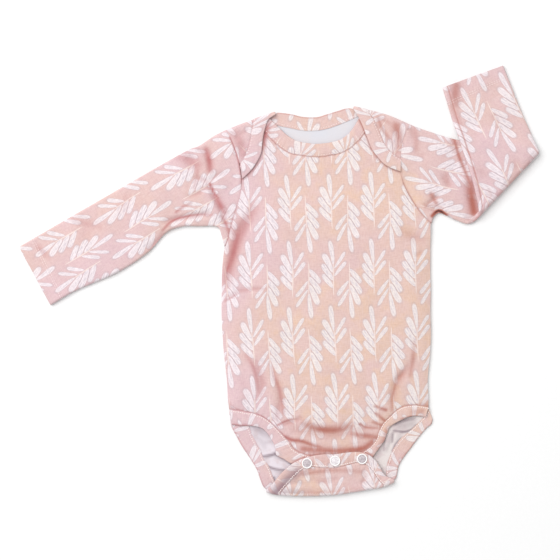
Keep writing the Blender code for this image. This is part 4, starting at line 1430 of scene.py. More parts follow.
OPENING_SHADES = (
    (((-24, -147), (-17, -151), (-11, -155)), (0.45, 0.5, 0.3), 5),
    (((-16.6, -176), (-6, -173.6), (2, -169)), (0.9, 1, 0.9), 1.3),
    (((-4.3, -173.6), (5, -178), (12.5, -182.8)), (0.9, 0.95, 1), 1.3),
    (((-11.2, -185.9), (-3, -188.5), (4.9, -189.7)), (1, 0.9, 0.8), 1.2),
    (((-5, -197), (-5, -202)), (0.8, 0.8), 1.5),
    (((-14, -162), (-5, -160)), (0.25, 0.25), 2.5),
    (((117, -143), (125, -140), (135, -138)), (0.75, 0.8, 0.6), 2.6),
    (((121, -145), (133, -143)), (0.4, 0.4), 5),
    (((115, -150), (126, -151), (134, -148), (138, -144)), (0.8, 0.95, 0.9, 0.7), 1.4),
    (((113.5, -153), (113.5, -161)), (0.8, 0.8), 1.3),
    (((114, -170), (117, -163), (122, -157)), (0.8, 0.8, 0.6), 1.2),
    (((106, -159), (105, -169)), (0.55, 0.55), 1.7),
    (((99, -174), (103, -166)), (0.35, 0.3), 3),
)
BAND_SHADES = (
    (((-4, -212), (3, -205), (11, -196), (20, -189)), (0.85, 0.85, 0.75, 0.65), 5),
    (((22, -187), (40, -181), (70, -178.5), (84, -178)), (0.1, 0.13, 0.13, 0.1), 5.5),
    (((105, -179), (111, -182)), (0.5, 0.5), 1.1),
    (((133, -167), (123, -179), (119, -195)), (0.25, 0.3, 0.25), 2),
)
print("shades of the back:", len(LAP_SHADES + TONGUE_SHADES + OPENING_SHADES + BAND_SHADES))

# %% What lies over the front
LAP_ROWS = 3 * FINE
LAP_END_ROWS = 2 * FINE
EASE_ROWS = 6
LAID_WAVES = 1.2
# a valley of the laps or the tongue this deep takes all of its painted shade
LAID_FOLD = 2.4  # mm of depth at which a valley of the laps or the tongue is wholly creased


def face_down(cloth):
    """Places on cloth that is seen from its inside."""
    return cloth * (-1, 1)


def lay_over(plan, creases, seam, shades):
    """Heights of a part of the back that lies on the front, and the shade painted into its creases."""
    x, y = plan[..., 0], plan[..., 1]
    folds = relief(creases, x, y)
    height = TOP + folds + LAID_WAVES * waves(x, y) + puckers(seam, x, y) - sunk(seam, x, y)
    return raised(plan, height), shaded(valley_shade(folds, LAID_FOLD), shades, x, y)


def eased(rows):
    """Rows whose own relief grows over the first few from the fold, where the cloth is plain."""
    ease = np.minimum(np.arange(len(rows)) / EASE_ROWS, 1)[:, None]
    rows[..., 2] = TOP + (rows[..., 2] - TOP) * ease
    return rows


def lap(table, side, crossing, base, armhole, fold):
    """A shoulder lap: its patch from the fold down to its tip, and its binding's stations."""
    band = divided(spline([crossing, *table]), [LAP_TIPS[side]], (LAP_ROWS, LAP_END_ROWS))
    edges = [armhole.points[: LAP_ROWS + 1], band[: LAP_ROWS + 1, 2:]]
    if side == "right":
        edges.reverse()
    tip = np.linspace(edges[0][-1], edges[1][-1], len(base))
    plan = between(*edges, base, tip)
    rows, painted_shade = lay_over(plan, LAP_CREASES, band[:, 2:], LAP_SHADES + ARMHOLE_SHADES)
    rows[..., 2] -= sunk(armhole.line, plan[..., 0], plan[..., 1])
    return (eased(rows), face_down(fold.cloth(plan)), painted_shade), band


print("a lap has", LAP_ROWS, "rows of points beside its sleeve")

# %% The back panel
BACK_COLUMNS = np.multiply((3, 9, 4), FINE)
TONGUE_ROWS = 4 * FINE
# depth at which the back's ridges take their full painted shade, and the most of it
OPENING_FOLD = 3.0
OPENING_MOST = 0.4


def make_back():
    """The back panel, and its two bindings' runs of stations."""
    columns = sum(BACK_COLUMNS)
    neck_left = shoulder_left.crossing(SHOULDER_LEFT[-1][0], SHOULDER_LEFT_SEAM_X)
    neck_right = shoulder_right.crossing(SHOULDER_RIGHT[0][0], SHOULDER_RIGHT_SEAM_X)
    leg_left = crotch.crossing(CROTCH[0][0], CROTCH_SEAM_X[0])
    leg_right = crotch.crossing(CROTCH[-1][0], CROTCH_SEAM_X[1])

    neck = evenly(spline([neck_left, *NECK_BACK, neck_right]), BACK_COLUMNS[1])
    opening_left = evenly(spline([*LEG_BACK_LEFT, leg_left]), LEG_ROWS)
    opening_right = evenly(spline([leg_right, *LEG_BACK_RIGHT]), LEG_ROWS)
    band = spline([leg_left, *BAND_OF_TONGUE, leg_right])
    band = divided(band, TONGUE_CORNERS, (TONGUE_ROWS, columns, TONGUE_ROWS))

    base_left = np.linspace(SHOULDER_LEFT[0][0], SHOULDER_LEFT_SEAM_X, BACK_COLUMNS[0] + 1)
    base_left = shoulder_left.base(base_left)
    base_right = np.linspace(SHOULDER_RIGHT_SEAM_X, SHOULDER_RIGHT[-1][0], BACK_COLUMNS[2] + 1)
    base_right = shoulder_right.base(base_right)
    base_crotch = crotch.base(np.linspace(*CROTCH_SEAM_X, columns + 1))

    left = body_edge(opening_left[::-1, 2:], 1, armhole_left)
    right = body_edge(opening_right[:, 2:], 2, armhole_right)
    top = np.vstack([base_left[:-1], neck[:, 2:], base_right[1:]])
    plan = between(left, right, base_crotch, top)
    lift = np.maximum(relief(BACK_CREASES, plan[..., 0], plan[..., 1]), 0)
    # painted shade on the back's ridges and inside its leg openings
    drawn = valley_shade(-lift, OPENING_FOLD, OPENING_MOST)  # these are ridges, not valleys
    drawn = shaded(drawn, OPENING_SHADES, plan[..., 0], plan[..., 1])
    body = raised(plan, lift), face_down(plan), drawn

    seam = band[:, 2:]
    tongue_sides = seam[: TONGUE_ROWS + 1], seam[: -TONGUE_ROWS - 2 : -1]
    plan = between(*tongue_sides, base_crotch, seam[TONGUE_ROWS:-TONGUE_ROWS])
    rows, painted_shade = lay_over(plan, TONGUE_CREASES, seam, TONGUE_SHADES)
    tongue = eased(rows), face_down(crotch.cloth(plan)), painted_shade
    lap_left, edge_left = lap(LAP_LEFT, "left", neck_left, base_left, armhole_left, shoulder_left)
    lap_right, edge_right = lap(LAP_RIGHT, "right", neck_right, base_right, armhole_right, shoulder_right)

    patches = [body, tongue, lap_left, lap_right]
    for fold, base in ((crotch, base_crotch), (shoulder_left, base_left), (shoulder_right, base_right)):
        rows, cloth = fold.turn(base)
        patches.append((rows, face_down(cloth), 0.0))
    panel = sew("back", patches, WALL, -1, back_jersey)

    def backwards(run):
        return run[0][::-1], run[1][::-1]

    neck_runs = [backwards(level(edge_left, TOP, 1)), backwards(turned(shoulder_left, neck_left))]
    neck_runs += [level(neck, 0, -1), turned(shoulder_right, neck_right), level(edge_right, TOP, 1)]
    leg_runs = [level(opening_left, 0, -1), turned(crotch, leg_left), level(band, TOP, 1)]
    leg_runs += [backwards(turned(crotch, leg_right)), level(opening_right, 0, -1)]
    return panel, neck_runs, leg_runs


back_jersey = printed_jersey("jersey_back", (3.0, 9.0))
back, neck_runs, leg_runs = make_back()
print("back:", len(back.data.polygons), "faces")

# %% The back bindings
# painted shade along the seams of the back bindings
NECK_BACK_SEAM_SHADE = 0.45
LEG_BACK_SEAM_SHADE = 0.5
neck_back_jersey = printed_jersey("jersey_neck_back", (2.0, 17.0))
leg_back_jersey = printed_jersey("jersey_leg_back", (9.0, 3.0))
neck_binding_back, neck_back_rings = sew_binding(
    "neck_binding_of_back", neck_runs, neck_back_jersey, NECK_BACK_SEAM_SHADE
)
leg_binding_back, leg_back_rings = sew_binding(
    "leg_binding_of_back", leg_runs, leg_back_jersey, LEG_BACK_SEAM_SHADE, BAND_SHADES
)
print("back bindings:", len(neck_binding_back.data.polygons), len(leg_binding_back.data.polygons), "faces")

# %% [markdown]
# ## Sleeves
# A sleeve is a tube that lies flat. A flattened cylinder would have the right form, but not the armhole's
# seam. So it is drawn as rings between a point of its upper and one of its lower edge. Each ring starts at
# the underarm seam, goes over the top to the upper edge and comes back below, so the print runs round the
# upper edge and breaks only at the seam, as it does on the real one. The hem at the cuff is double cloth, a
# little higher up to its line of stitches.

# %% Seams of the left sleeve
#    x       y
SLEEVE_LEFT_UPPER = (
    (-260.0, 34.3),
    (-180.0, 80.5),
    (-99.0, 126.8),
    (-80.0, 135.2),
    (-66.1, 144.5),
    (-53.1, 151.2),
)
SLEEVE_LEFT_LOWER = (
    (-228.5, -24.2),
    (-202.5, -9.2),
    (-163.0, 8.0),
    (-132.0, 28.0),
    (-114.0, 47.5),
    (-98.4, 54.2),
    (-80.0, 54.8),
    (-62.0, 54.2),
    (-57.5, 45.5),
    ARMPIT_LEFT,
)
#    x       rise
CROWN_LEFT = ((-240.0, 0.0), (-190.0, 1.2), (-100.0, 2.0), (-70.0, 1.6), (-45.0, 0.0))
print("left sleeve:", round(lengths(spline(SLEEVE_LEFT_UPPER))[-1]), "mm along its upper edge")

# %% Creases of the left sleeve
#    run, width, rise
LEFT_CREASES = (
    (((-92, 124), (-84, 118)), 5.5, -1.3),
    (((-74, 127), (-66, 111)), 4.5, -1.5),
    (((-82, 132), (-70, 127)), 3.0, -1.0),
    (((-70, 97), (-64, 82), (-57, 70), (-53, 54)), 3.6, -1.7),
    (((-71, 98), (-78, 102), (-86, 104)), 3.0, -1.1),
    (((-69, 99), (-62, 105), (-54, 108)), 3.2, -0.9),
    (((-71, 95), (-80, 88), (-92, 84)), 3.4, -0.9),
    (((-115, 59), (-99, 63), (-68, 68)), 3.6, -1.6),
    (((-114, 49), (-121, 40), (-131, 31)), 3.6, -1.2),
    (((-113, 52), (-86, 58), (-60, 62)), 5.0, 0.6),
    (((-64, 104), (-52, 92)), 9.0, 0.9),
    (((-150, 88), (-158, 66)), 8.0, -0.5),
    (((-190, 62), (-196, 40)), 9.0, -0.4),
)
# painted shade on the left sleeve
#    run, strengths along it, reach
LEFT_SHADES = (
    (((-100, 126), (-92, 122), (-83, 116)), (0.3, 0.5, 0.5), 6),
    (((-241, 34), (-236, 29), (-231, 24)), (0.3, 0.4, 0.2), 3),
    (((-205, 62), (-193, 57), (-180, 55)), (0.15, 0.3, 0.15), 5),
    (((-73, 131), (-70, 121), (-69, 111)), (0.65, 0.95, 0.7), 3.6),
    (((-69, 97), (-65, 88), (-61, 83)), (0.9, 1, 0.85), 1.6),
    (((-63, 83), (-59, 76), (-55, 69)), (0.7, 0.85, 0.7), 3.6),
    (((-116, 51), (-107, 60), (-93, 64.5), (-79, 66.5), (-66, 66)), (0.6, 0.85, 0.9, 0.7, 0.35), 1.6),
    (((-103, 69), (-96, 74), (-88, 78)), (0.6, 0.6, 0.3), 1.5),
    (((-57, 65), (-53, 57), (-50, 49)), (0.6, 0.8, 0.6), 2),
    (((-81, 121), (-82, 106), (-85, 93)), (0.4, 0.4, 0.3), 2.2),
)
print("creases and shades:", len(LEFT_CREASES), len(LEFT_SHADES))

# %% A ring of a sleeve
SLEEVE = 4.0
NEAR_ARMHOLE = 30.0
SHOULDER_TO_UNDERARM = (0.3, 0.55)
HEM = 16.5
HEM_RISE = 0.35
HEM_STEP = (HEM - 0.8, HEM + 0.6)
HEM_GROOVE = 0.3
GROOVE_TO_HEM = 1.4


def sleeve_ring(upper, lower, armhole, crown, from_cuff):
    """A ring of a sleeve that lies flat: its plan, and what its top and bottom heights are made of."""
    middle = (armhole.line[0] + armhole.line[-1]) / 2
    near = max(0.0, 1 - np.linalg.norm((upper + lower) / 2 - middle) / NEAR_ARMHOLE) ** 2
    radii = (SLEEVE + (TOP - SLEEVE) * near) / 2, (SLEEVE + (SLEEVE_UNDERARM - SLEEVE) * near) / 2
    around = armhole.measure[-1]
    width = around if near == 1 else np.linalg.norm(lower - upper)
    shares = (armhole.places - FOLD_RADIUS) / (armhole.places[-1] - FOLD_RADIUS)
    inner = radii[0] + shares * (width - sum(radii))
    bend = 1 - np.cos(np.linspace(0, pi / 2, EDGE_STEPS)[:-1])
    place = np.concatenate([radii[0] * bend, inner, width - radii[1] * bend[::-1]])
    u = place / width
    cap = armhole.at(u * around) - armhole.line[0] - u[:, None] * (armhole.line[-1] - armhole.line[0])
    plan = upper + u[:, None] * (lower - upper) + near * cap
    radius = np.where(u < 0.5, radii[0], radii[1])
    inset = np.clip(np.minimum(place, width - place) / radius, 0, 1)
    open_share = np.sqrt(1 - (1 - inset) ** 2)
    height = 2 * (radii[0] + (radii[1] - radii[0]) * smooth_step(u, *SHOULDER_TO_UNDERARM))
    rise = np.interp(plan[:, 0], *np.transpose(crown)) * np.sin(pi * u)
    hem = HEM_RISE * (1 - smooth_step(from_cuff, *HEM_STEP))
    hem -= HEM_GROOVE * np.exp(-((from_cuff - HEM + GROOVE_TO_HEM) ** 2))
    return plan, radius, open_share, height, rise, hem * open_share


print("hems are", HEM, "mm deep")


# %% The way a sleeve's print runs
class Axis:
    """The direction of a sleeve, towards the shoulder, in which its print runs."""

    def __init__(self, cuff, shoulder):
        run = np.subtract(shoulder, cuff)
        self.up = run / np.linalg.norm(run)
        self.right = np.array((self.up[1], -self.up[0]))

    def cloth(self, plan, edge=None):
        """Places on the cloth of the top side, or of the bottom side beyond the upper edge."""
        across, along = plan @ self.right, plan @ self.up
        if edge is not None:
            across = 2 * (edge @ self.right) - across
        return np.stack([across, along], axis=-1)


#    middle of the cuff, middle of the armhole, in mm
LEFT_AXIS = Axis((-244, 5), (-75, 100))
RIGHT_AXIS = Axis((341, 66), (141, 125.2))
print("sleeves run along", LEFT_AXIS.up.round(2), "and", RIGHT_AXIS.up.round(2))

# %% The left sleeve
HEM_STITCHES = (13.4, 15.4)
SLEEVE_LEAST = 2 * WALL + 0.3
SLEEVE_WAVES = 1.5
SLEEVE_RINGS = 20 * FINE


def lay_rings(uppers, lowers, from_cuff, armhole, axis, crown, turned=0, turned_crown=None):
    """Rows of a sleeve that lies flat: its top, its bottom, and the places of both on the cloth.

    The first rings, as many as turned says, will be turned over: what is on top of the others is below them.
    """
    rings = []
    for i, (upper, lower, at) in enumerate(zip(uppers, lowers, from_cuff)):
        below = i < turned
        ring = sleeve_ring(upper, lower, armhole, turned_crown if below else crown, at)
        plan, radius, open_share, height, rise, hem = ring
        top = radius + (height + rise * (not below) - radius) * open_share + hem * (not below)
        bottom = radius * (1 - open_share) - rise * below - hem * below
        rings.append((raised(plan, top), raised(plan, bottom), axis.cloth(plan), axis.cloth(plan, plan[0])))
    return [np.array(rows) for rows in zip(*rings)]


def tube(top, bottom):
    """A sleeve's patch from its two sides, each the rows, places and painted shade from the upper edge down.
    """
    return [np.concatenate([over[:, ::-1], under[:, 1:]], axis=1) for over, under in zip(top, bottom)]


def inset_share(top):
    """How far inside their edges points of a sleeve's top are: 0 at an edge, 1 from the full height on."""
    return np.clip((top[..., 2] - SLEEVE / 2) / (SLEEVE / 2), 0, 1)


def hem_rows(rows, from_cuff):
    """Rows of points across a sleeve where the stitches of its hem run."""
    made = []
    for at in HEM_STITCHES:
        after = np.searchsorted(from_cuff, at)
        share = (at - from_cuff[after - 1]) / (from_cuff[after] - from_cuff[after - 1])
        made.append(rows[after - 1] * (1 - share) + rows[after] * share)
    return made


def make_sleeve_left(armhole):
    """The left sleeve, and the rows of its hem's stitches."""
    uppers = evenly(spline(SLEEVE_LEFT_UPPER), SLEEVE_RINGS)
    lowers = evenly(spline(SLEEVE_LEFT_LOWER), SLEEVE_RINGS)
    from_cuff = lengths((uppers + lowers) / 2)
    rows = lay_rings(uppers, lowers, from_cuff, armhole, LEFT_AXIS, CROWN_LEFT)
    top, bottom, cloth, cloth_below = rows
    x, y = top[..., 0], top[..., 1]
    inset = inset_share(top)
    folds = relief(LEFT_CREASES, x, y)
    top[..., 2] += (folds + SLEEVE_WAVES * waves(x, y)) * inset
    top[..., 2] -= sunk(armhole.line, x, y) * inset
    top[..., 2] = np.where(inset > 0, np.maximum(top[..., 2], SLEEVE_LEAST), top[..., 2])
    # painted shade in the creases and along the armhole
    painted_shade = shaded(valley_shade(folds), ARMHOLE_SHADES + LEFT_SHADES, x, y)
    patch = tube((top, cloth, painted_shade), (bottom, cloth_below, np.zeros(painted_shade.shape)))
    sleeve = sew("sleeve_on_the_left", [patch], WALL, 1, sleeve_left_jersey, SLEEVE_GAP)
    return sleeve, hem_rows(top, from_cuff)


sleeve_left_jersey = printed_jersey("jersey_sleeve_left", (10.2, 29.0))
sleeve_left, hem_left = make_sleeve_left(armhole_left)
print("left sleeve:", len(sleeve_left.data.polygons), "faces")

# %% [markdown]
# ## The folded sleeve
# The other sleeve's forearm is turned back over its upper arm and out past the shoulder. A Simple Deform
# modifier bends a whole mesh evenly, and this fold is a tight turn between two flat parts. So the sleeve is
# laid flat first, and then every point beyond the elbow's line is carried round a turn and over. The hidden
# layers have their full length, and the print stays on the cloth.

# %% Seams of the right sleeve
#    x       y
SLEEVE_RIGHT_UPPER = (
    (350.2, 96.6),
    (305.5, 111.6),
    (260.0, 127.6),
    (215.0, 136.0),
    (176.0, 142.0),
    (146.0, 151.0),
    (130.5, 156.8),
)
SLEEVE_RIGHT_LOWER = (
    (331.5, 34.6),
    (290.0, 44.8),
    (250.0, 55.5),
    (225.0, 61.2),
    (203.0, 63.4),
    (190.0, 57.2),
    (177.0, 61.0),
    (168.5, 65.0),
    (160.4, 68.0),
    (155.0, 64.0),
    ARMPIT_RIGHT,
)
ELBOW = ((203.0, 67.0), (259.8, 127.0))
#    x       rise
CROWN_UPPER_ARM = ((130.0, 0.0), (148.0, 1.2), (160.0, 0.8), (174.0, 0.0))
CROWN_FOREARM = ((215.0, 0.0), (250.0, 1.0), (310.0, 1.0), (345.0, 0.0))
print("right sleeve:", round(lengths(spline(SLEEVE_RIGHT_UPPER))[-1]), "mm along its upper edge")

# %% Creases of the right sleeve
#    run, width, rise
RIGHT_CREASES = (
    (((148, 77), (154, 81), (160, 86)), 3.0, -1.3),
    (((163, 105), (168, 99), (171, 94)), 3.6, -1.2),
    (((144, 77), (153, 72), (162, 68)), 2.6, -1.2),
    (((186, 65), (196, 59)), 3.0, -1.0),
    (((186, 97), (193, 84), (199, 72)), 5.5, -1.1),
    (((131, 154), (136, 141)), 4.0, -1.0),
    (((140, 118), (150, 100)), 12.0, 0.8),
    (((133, 128), (146, 124)), 4.0, -0.5),
)
FOREARM_CREASES = (
    (((196, 112), (208, 104)), 6.0, -0.5),
    (((214, 168), (222, 160)), 6.0, -0.5),
    (((232, 120), (243, 108)), 6.0, -0.6),
)
# painted shade on the upper arm and the forearm; strengths over 1 paint the black of the pit at the armpit
#    run, strengths along it, reach
RIGHT_SHADES = (
    (((135, 152), (137, 143), (137, 131)), (0.3, 0.4, 0.3), 3),
    (((152, 87), (157, 78)), (0.65, 0.75), 2.6),
    (((153, 65), (157, 69), (161, 70), (168, 66)), (1.2, 1.8, 1.9, 1.0), 1.7),
    (((175, 142), (180, 125), (186, 110), (192, 95)), (0.9, 0.9, 0.8, 0.7), 1.9),
    (((172, 139), (176, 129)), (0.45, 0.3), 3),
    (((191, 97), (193, 82), (195, 69)), (0.8, 1, 1), 5.5),
    (((146, 74), (155, 76), (164, 73)), (0.5, 0.5, 0.3), 1.3),
    (((167, 106), (169, 97)), (0.35, 0.35), 3),
)
FOREARM_SHADES = (
    (((177, 195), (176, 185), (177, 177)), (0.65, 0.7, 0.45), 5),
    (((173, 175), (177, 165), (182, 155)), (0.35, 0.35, 0.2), 3),
    (((224, 85), (238, 100), (253, 118)), (0.3, 0.35, 0.3), 3),
    (((207, 68), (212, 80), (209, 91)), (0.5, 0.4, 0.2), 2.5),
)
print("creases and shades:", len(RIGHT_CREASES + FOREARM_CREASES), len(RIGHT_SHADES + FOREARM_SHADES))

# %% The elbow
ELBOW_RADIUS = 4.3
ELBOW_RINGS = (9 * FINE, 4 * FINE, 8 * FINE)
FOREARM_DROP = 18.0


class Elbow:
    """The fold of the right sleeve, whose forearm turns over onto the upper arm and past its upper edge."""

    def __init__(self, upper_edge):
        self.upper_edge = upper_edge
        self.low, high = np.array(ELBOW)
        along = (high - self.low) / np.linalg.norm(high - self.low)
        self.out = np.array((along[1], -along[0]))

    def past(self, points):
        """How far points lie past the start of the turn, towards the cuff."""
        return (points - self.low) @ self.out + ELBOW_RADIUS

    def divide(self, line):
        """An edge from cuff to armhole, divided on the forearm, over the turn and on the upper arm."""
        past = -self.past(line)
        turn = -np.linspace(2 * ELBOW_RADIUS, 0, ELBOW_RINGS[1] + 1)
        start, *middle, end = read(line, turn, past)
        forearm = evenly(np.vstack([line[past < turn[0]], start]), ELBOW_RINGS[0])
        upper_arm = evenly(np.vstack([end, line[past > turn[-1]]]), ELBOW_RINGS[2])
        return np.vstack([forearm, middle, upper_arm])

    def fold(self, rows):
        """Rows of the sleeve as it lies flat, turned over with the forearm."""
        plan, z = rows[..., :2], rows[..., 2]
        past = self.past(plan)
        turn = np.clip(past, 0, 2 * ELBOW_RADIUS)
        angle = pi * turn / (2 * ELBOW_RADIUS)
        reach = (ELBOW_RADIUS - z) * np.sin(angle) - (past - turn)
        folded = plan + np.where(past > 0, reach - past, 0)[..., None] * self.out
        height = np.where(past > 0, ELBOW_RADIUS - (ELBOW_RADIUS - z) * np.cos(angle), z)
        edge = np.interp(-folded[..., 0], -self.upper_edge[:, 0], self.upper_edge[:, 1])
        drop = (2 * ELBOW_RADIUS - SLEEVE) * smooth_step(folded[..., 1] - edge, 0, FOREARM_DROP)
        return raised(folded, height - np.where(past > 0, drop, 0))


print("the elbow's turn takes", round(pi * ELBOW_RADIUS, 1), "mm of cloth")

# %% The right sleeve
UPPER_ARM_WAVES = 1.2
# painted shade inside the elbow's turn and beside the forearm's seam
ELBOW_SHADE = 0.45
ELBOW_SHADE_WIDTH = 0.4  # in turns of the elbow
FOREARM_SEAM = 5.0  # mm from the lower edge
FOREARM_SEAM_SHADE = 0.7
#    rise, inset from the seam, width
SEAM_RIDGE = (0.5, 0.0, 0.8)
SEAM_VALLEY = (0.3, 1.6, 0.9)


def beside_seam(from_edge, inset, width):
    """1 along a line at an inset from the forearm's seam, and less away from it."""
    return np.exp(-(((from_edge - FOREARM_SEAM - inset) / width) ** 2))


def make_sleeve_right(armhole):
    """The right sleeve, turned over at its elbow, and the rows of its hem's stitches."""
    upper_edge = spline(SLEEVE_RIGHT_UPPER)
    elbow = Elbow(upper_edge)
    uppers = elbow.divide(upper_edge)
    lowers = elbow.divide(spline(SLEEVE_RIGHT_LOWER))
    from_cuff = lengths((uppers + lowers) / 2)
    crowns = CROWN_UPPER_ARM, ELBOW_RINGS[0], CROWN_FOREARM
    rows = lay_rings(uppers, lowers, from_cuff, armhole, RIGHT_AXIS, *crowns)
    top, bottom, cloth, cloth_below = rows
    inset = inset_share(top)
    x, y = top[..., 0], top[..., 1]
    upper_arm = (np.arange(len(top)) >= ELBOW_RINGS[0] + ELBOW_RINGS[1])[:, None]
    forearm = (np.arange(len(top)) < ELBOW_RINGS[0])[:, None]

    folds = relief(RIGHT_CREASES, x, y) * upper_arm
    top[..., 2] += (folds + UPPER_ARM_WAVES * waves(x, y) * upper_arm) * inset
    top[..., 2] -= sunk(armhole.line, x, y) * inset
    # painted shade in the upper arm's creases, along the armhole and beside the folded forearm
    painted_shade = valley_shade(folds)
    painted_shade = np.where(upper_arm, shaded(painted_shade, ARMHOLE_SHADES + RIGHT_SHADES, x, y), painted_shade)

    # painted shade inside the elbow's turn and beside the forearm's seam
    in_turn = elbow.past(bottom[..., :2]) / (2 * ELBOW_RADIUS)
    turn_shade = ELBOW_SHADE * np.exp(-(((in_turn - 0.5) / ELBOW_SHADE_WIDTH) ** 2))
    from_edge = np.linalg.norm(bottom[..., :2] - bottom[:, -1:, :2], axis=-1)
    seam_shade = FOREARM_SEAM_SHADE * beside_seam(from_edge, *SEAM_RIDGE[1:])
    bottom[..., 2] += SEAM_RIDGE[0] * beside_seam(from_edge, *SEAM_RIDGE[1:]) * inset
    bottom[..., 2] -= SEAM_VALLEY[0] * beside_seam(from_edge, *SEAM_VALLEY[1:]) * inset
    top, bottom = elbow.fold(top), elbow.fold(bottom)

    x, y = bottom[..., 0], bottom[..., 1]
    below = relief(FOREARM_CREASES, x, y) * forearm
    bottom[..., 2] += (below + SLEEVE_WAVES * waves(x, y) * forearm) * inset
    shade_below = np.maximum(valley_shade(below), np.maximum(turn_shade, seam_shade * forearm))
    shade_below = np.where(forearm, shaded(shade_below, FOREARM_SHADES, x, y), shade_below)
    patch = tube((top, cloth, painted_shade), (bottom, cloth_below, shade_below))
    sleeve = sew("sleeve_on_the_right", [patch], WALL, -1, sleeve_right_jersey, SLEEVE_GAP)
    return sleeve, hem_rows(bottom, from_cuff)


sleeve_right_jersey = printed_jersey("jersey_sleeve_right", (0.0, -1.3))
sleeve_right, hem_right = make_sleeve_right(armhole_right)
print("right sleeve:", len(sleeve_right.data.polygons), "faces")

# %% [markdown]
# ## Ring snaps
# A ring snap is a crimped metal ring, coated white, round the cap of its stud. It is a turned part, so a
# Screw modifier spins it from a profile, which is easier to change than joined primitives: the rim is a half
# round, and the middle is a shallow dome.

# %% A snap's profile
SNAPS = {"snap_left": (28.0, -182.0), "snap_centre": (56.0, -179.5), "snap_right": (83.0, -177.6)}
SNAP_RADIUS = 5.25
SNAP_EDGE = 0.35
RIM = 0.62
RIM_HEIGHT = 1.05
DOME_RADIUS = 4.0
DOME_HEIGHT = 0.75
SNAP_LEVEL = TOP + 0.3
PROFILE_STEPS = 8
SNAP_STEPS = 48


def snap_profile():
    """Radii and heights of a snap, from the middle of its dome outwards and down."""
    turn = np.linspace(pi / 2, 0, PROFILE_STEPS + 1)
    dome = [(DOME_RADIUS * cos(a), SNAP_EDGE + DOME_HEIGHT * sin(a)) for a in turn]
    around = np.linspace(pi, 0, PROFILE_STEPS + 1)
    rim = [(SNAP_RADIUS - RIM + RIM * cos(a), SNAP_EDGE + RIM_HEIGHT * sin(a)) for a in around]
    return [(0.0, dome[0][1]), *dome[1:], *rim, (SNAP_RADIUS, 0.0), (0.0, 0.0)]


print("a snap is", 2 * SNAP_RADIUS, "mm wide and", SNAP_EDGE + RIM_HEIGHT, "mm high")

# %% Coats of the snaps
RIM_WHITE = (0.90, 0.89, 0.885, 1.0)
RIM_BRIGHT = (0.93, 0.92, 0.92, 1.0)
CAP_GREY = (0.38, 0.32, 0.345, 1.0)
CAP_PALE = (0.60, 0.54, 0.56, 1.0)
# a painted highlight on the middle snap's cap, lighter as if it caught more light
CAP_GLINT = (0.80, 0.77, 0.79, 1.0)
MIDDLE_SNAP = tuple(Vector((*SNAPS["snap_centre"], SNAP_LEVEL)) * MM)
GLINT_REACH = (0.01, 0.02)
SPOTS = 700.0
ROUGHER_SPOTS = 0.08


def coated(name, colour, other, middle, roughness):
    """A smooth coat, a little uneven, with a painted highlight that lightens it on the middle snap."""
    material, shader, start = new_material(name)
    room = room_place(start)
    spots = room.noise(SPOTS, 2.0).ramp(0.35, 0.7)
    aside = room.distance(MIDDLE_SNAP)
    # painted highlight on the middle snap
    plain = colour_value(start, colour).colour(aside.ramp(*GLINT_REACH, 1.0, 0.0), middle)
    feed(shader, "Base Color", plain.colour(spots, other))
    feed(shader, "Roughness", spots * ROUGHER_SPOTS + roughness)
    return material


resin = coated("snap_rim", RIM_WHITE, RIM_BRIGHT, RIM_WHITE, 0.3)
cap = coated("snap_cap", CAP_GREY, CAP_PALE, CAP_GLINT, 0.35)
print("coats:", resin.name, cap.name)

# %% Ring snaps
CAP_RADIUS = DOME_RADIUS - 0.05
CAP_LEVEL = SNAP_LEVEL + 0.2


def apply_modifiers(piece):
    """Gives a piece the mesh that its modifiers make."""
    graph = bpy.context.evaluated_depsgraph_get()
    made = bpy.data.meshes.new_from_object(piece.evaluated_get(graph))
    piece.modifiers.clear()
    piece.data = made


def press_snap(name, x, y):
    """A ring snap, turned from its profile, on the band at a place in mm."""
    mesh = bpy.data.meshes.new(name)
    points = [(radius * MM, 0, height * MM) for radius, height in snap_profile()]
    mesh.from_pydata(points, [(i, i + 1) for i in range(len(points) - 1)], [])
    snap = add_object(name + "_ring", mesh)
    turning = snap.modifiers.new("turning", "SCREW")
    turning.steps = turning.render_steps = SNAP_STEPS
    turning.use_merge_vertices = True
    turning.merge_threshold = WELD * MM
    apply_modifiers(snap)
    for vert in snap.data.vertices:
        vert.co += Vector((x, y, SNAP_LEVEL)) * MM
    snap.data.materials.append(resin)
    snap.data.materials.append(cap)
    centre = Vector((x, y, 0)) * MM
    for face in snap.data.polygons:
        away = (face.center - centre).xy.length
        face.material_index = int(away < CAP_RADIUS * MM and face.center.z > CAP_LEVEL * MM)
    snap.data.shade_smooth()
    snap.data.set_sharp_from_angle(angle=SHARP_ANGLE)
    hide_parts(name)
    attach(snap, "root")
    return snap


snaps = [press_snap(name, *place) for name, place in SNAPS.items()]
print("snaps:", len(snaps))

# %% [markdown]
# ## Stitches
# The bindings and both hems are sewn down with a thread a little lighter than the cloth. Some hundreds of
# equal stitches along a line are work for Geometry Nodes: the rows are plain edges, taken from the rings of
# the bindings and sleeves, and the tree sets a small grain of thread at every step along them. Every second
# one leans the other way, which gives the zigzag on the inner side of the leg bindings. A curve with a round
# section would be quicker to make, but it looks like a cord.

# %% A tree that lays stitches
STITCH_SEGMENTS = 6
STITCH_RINGS = 4
STITCH_HALVES = (0.42, 0.56)  # half lengths of a stitch, as shares of its length


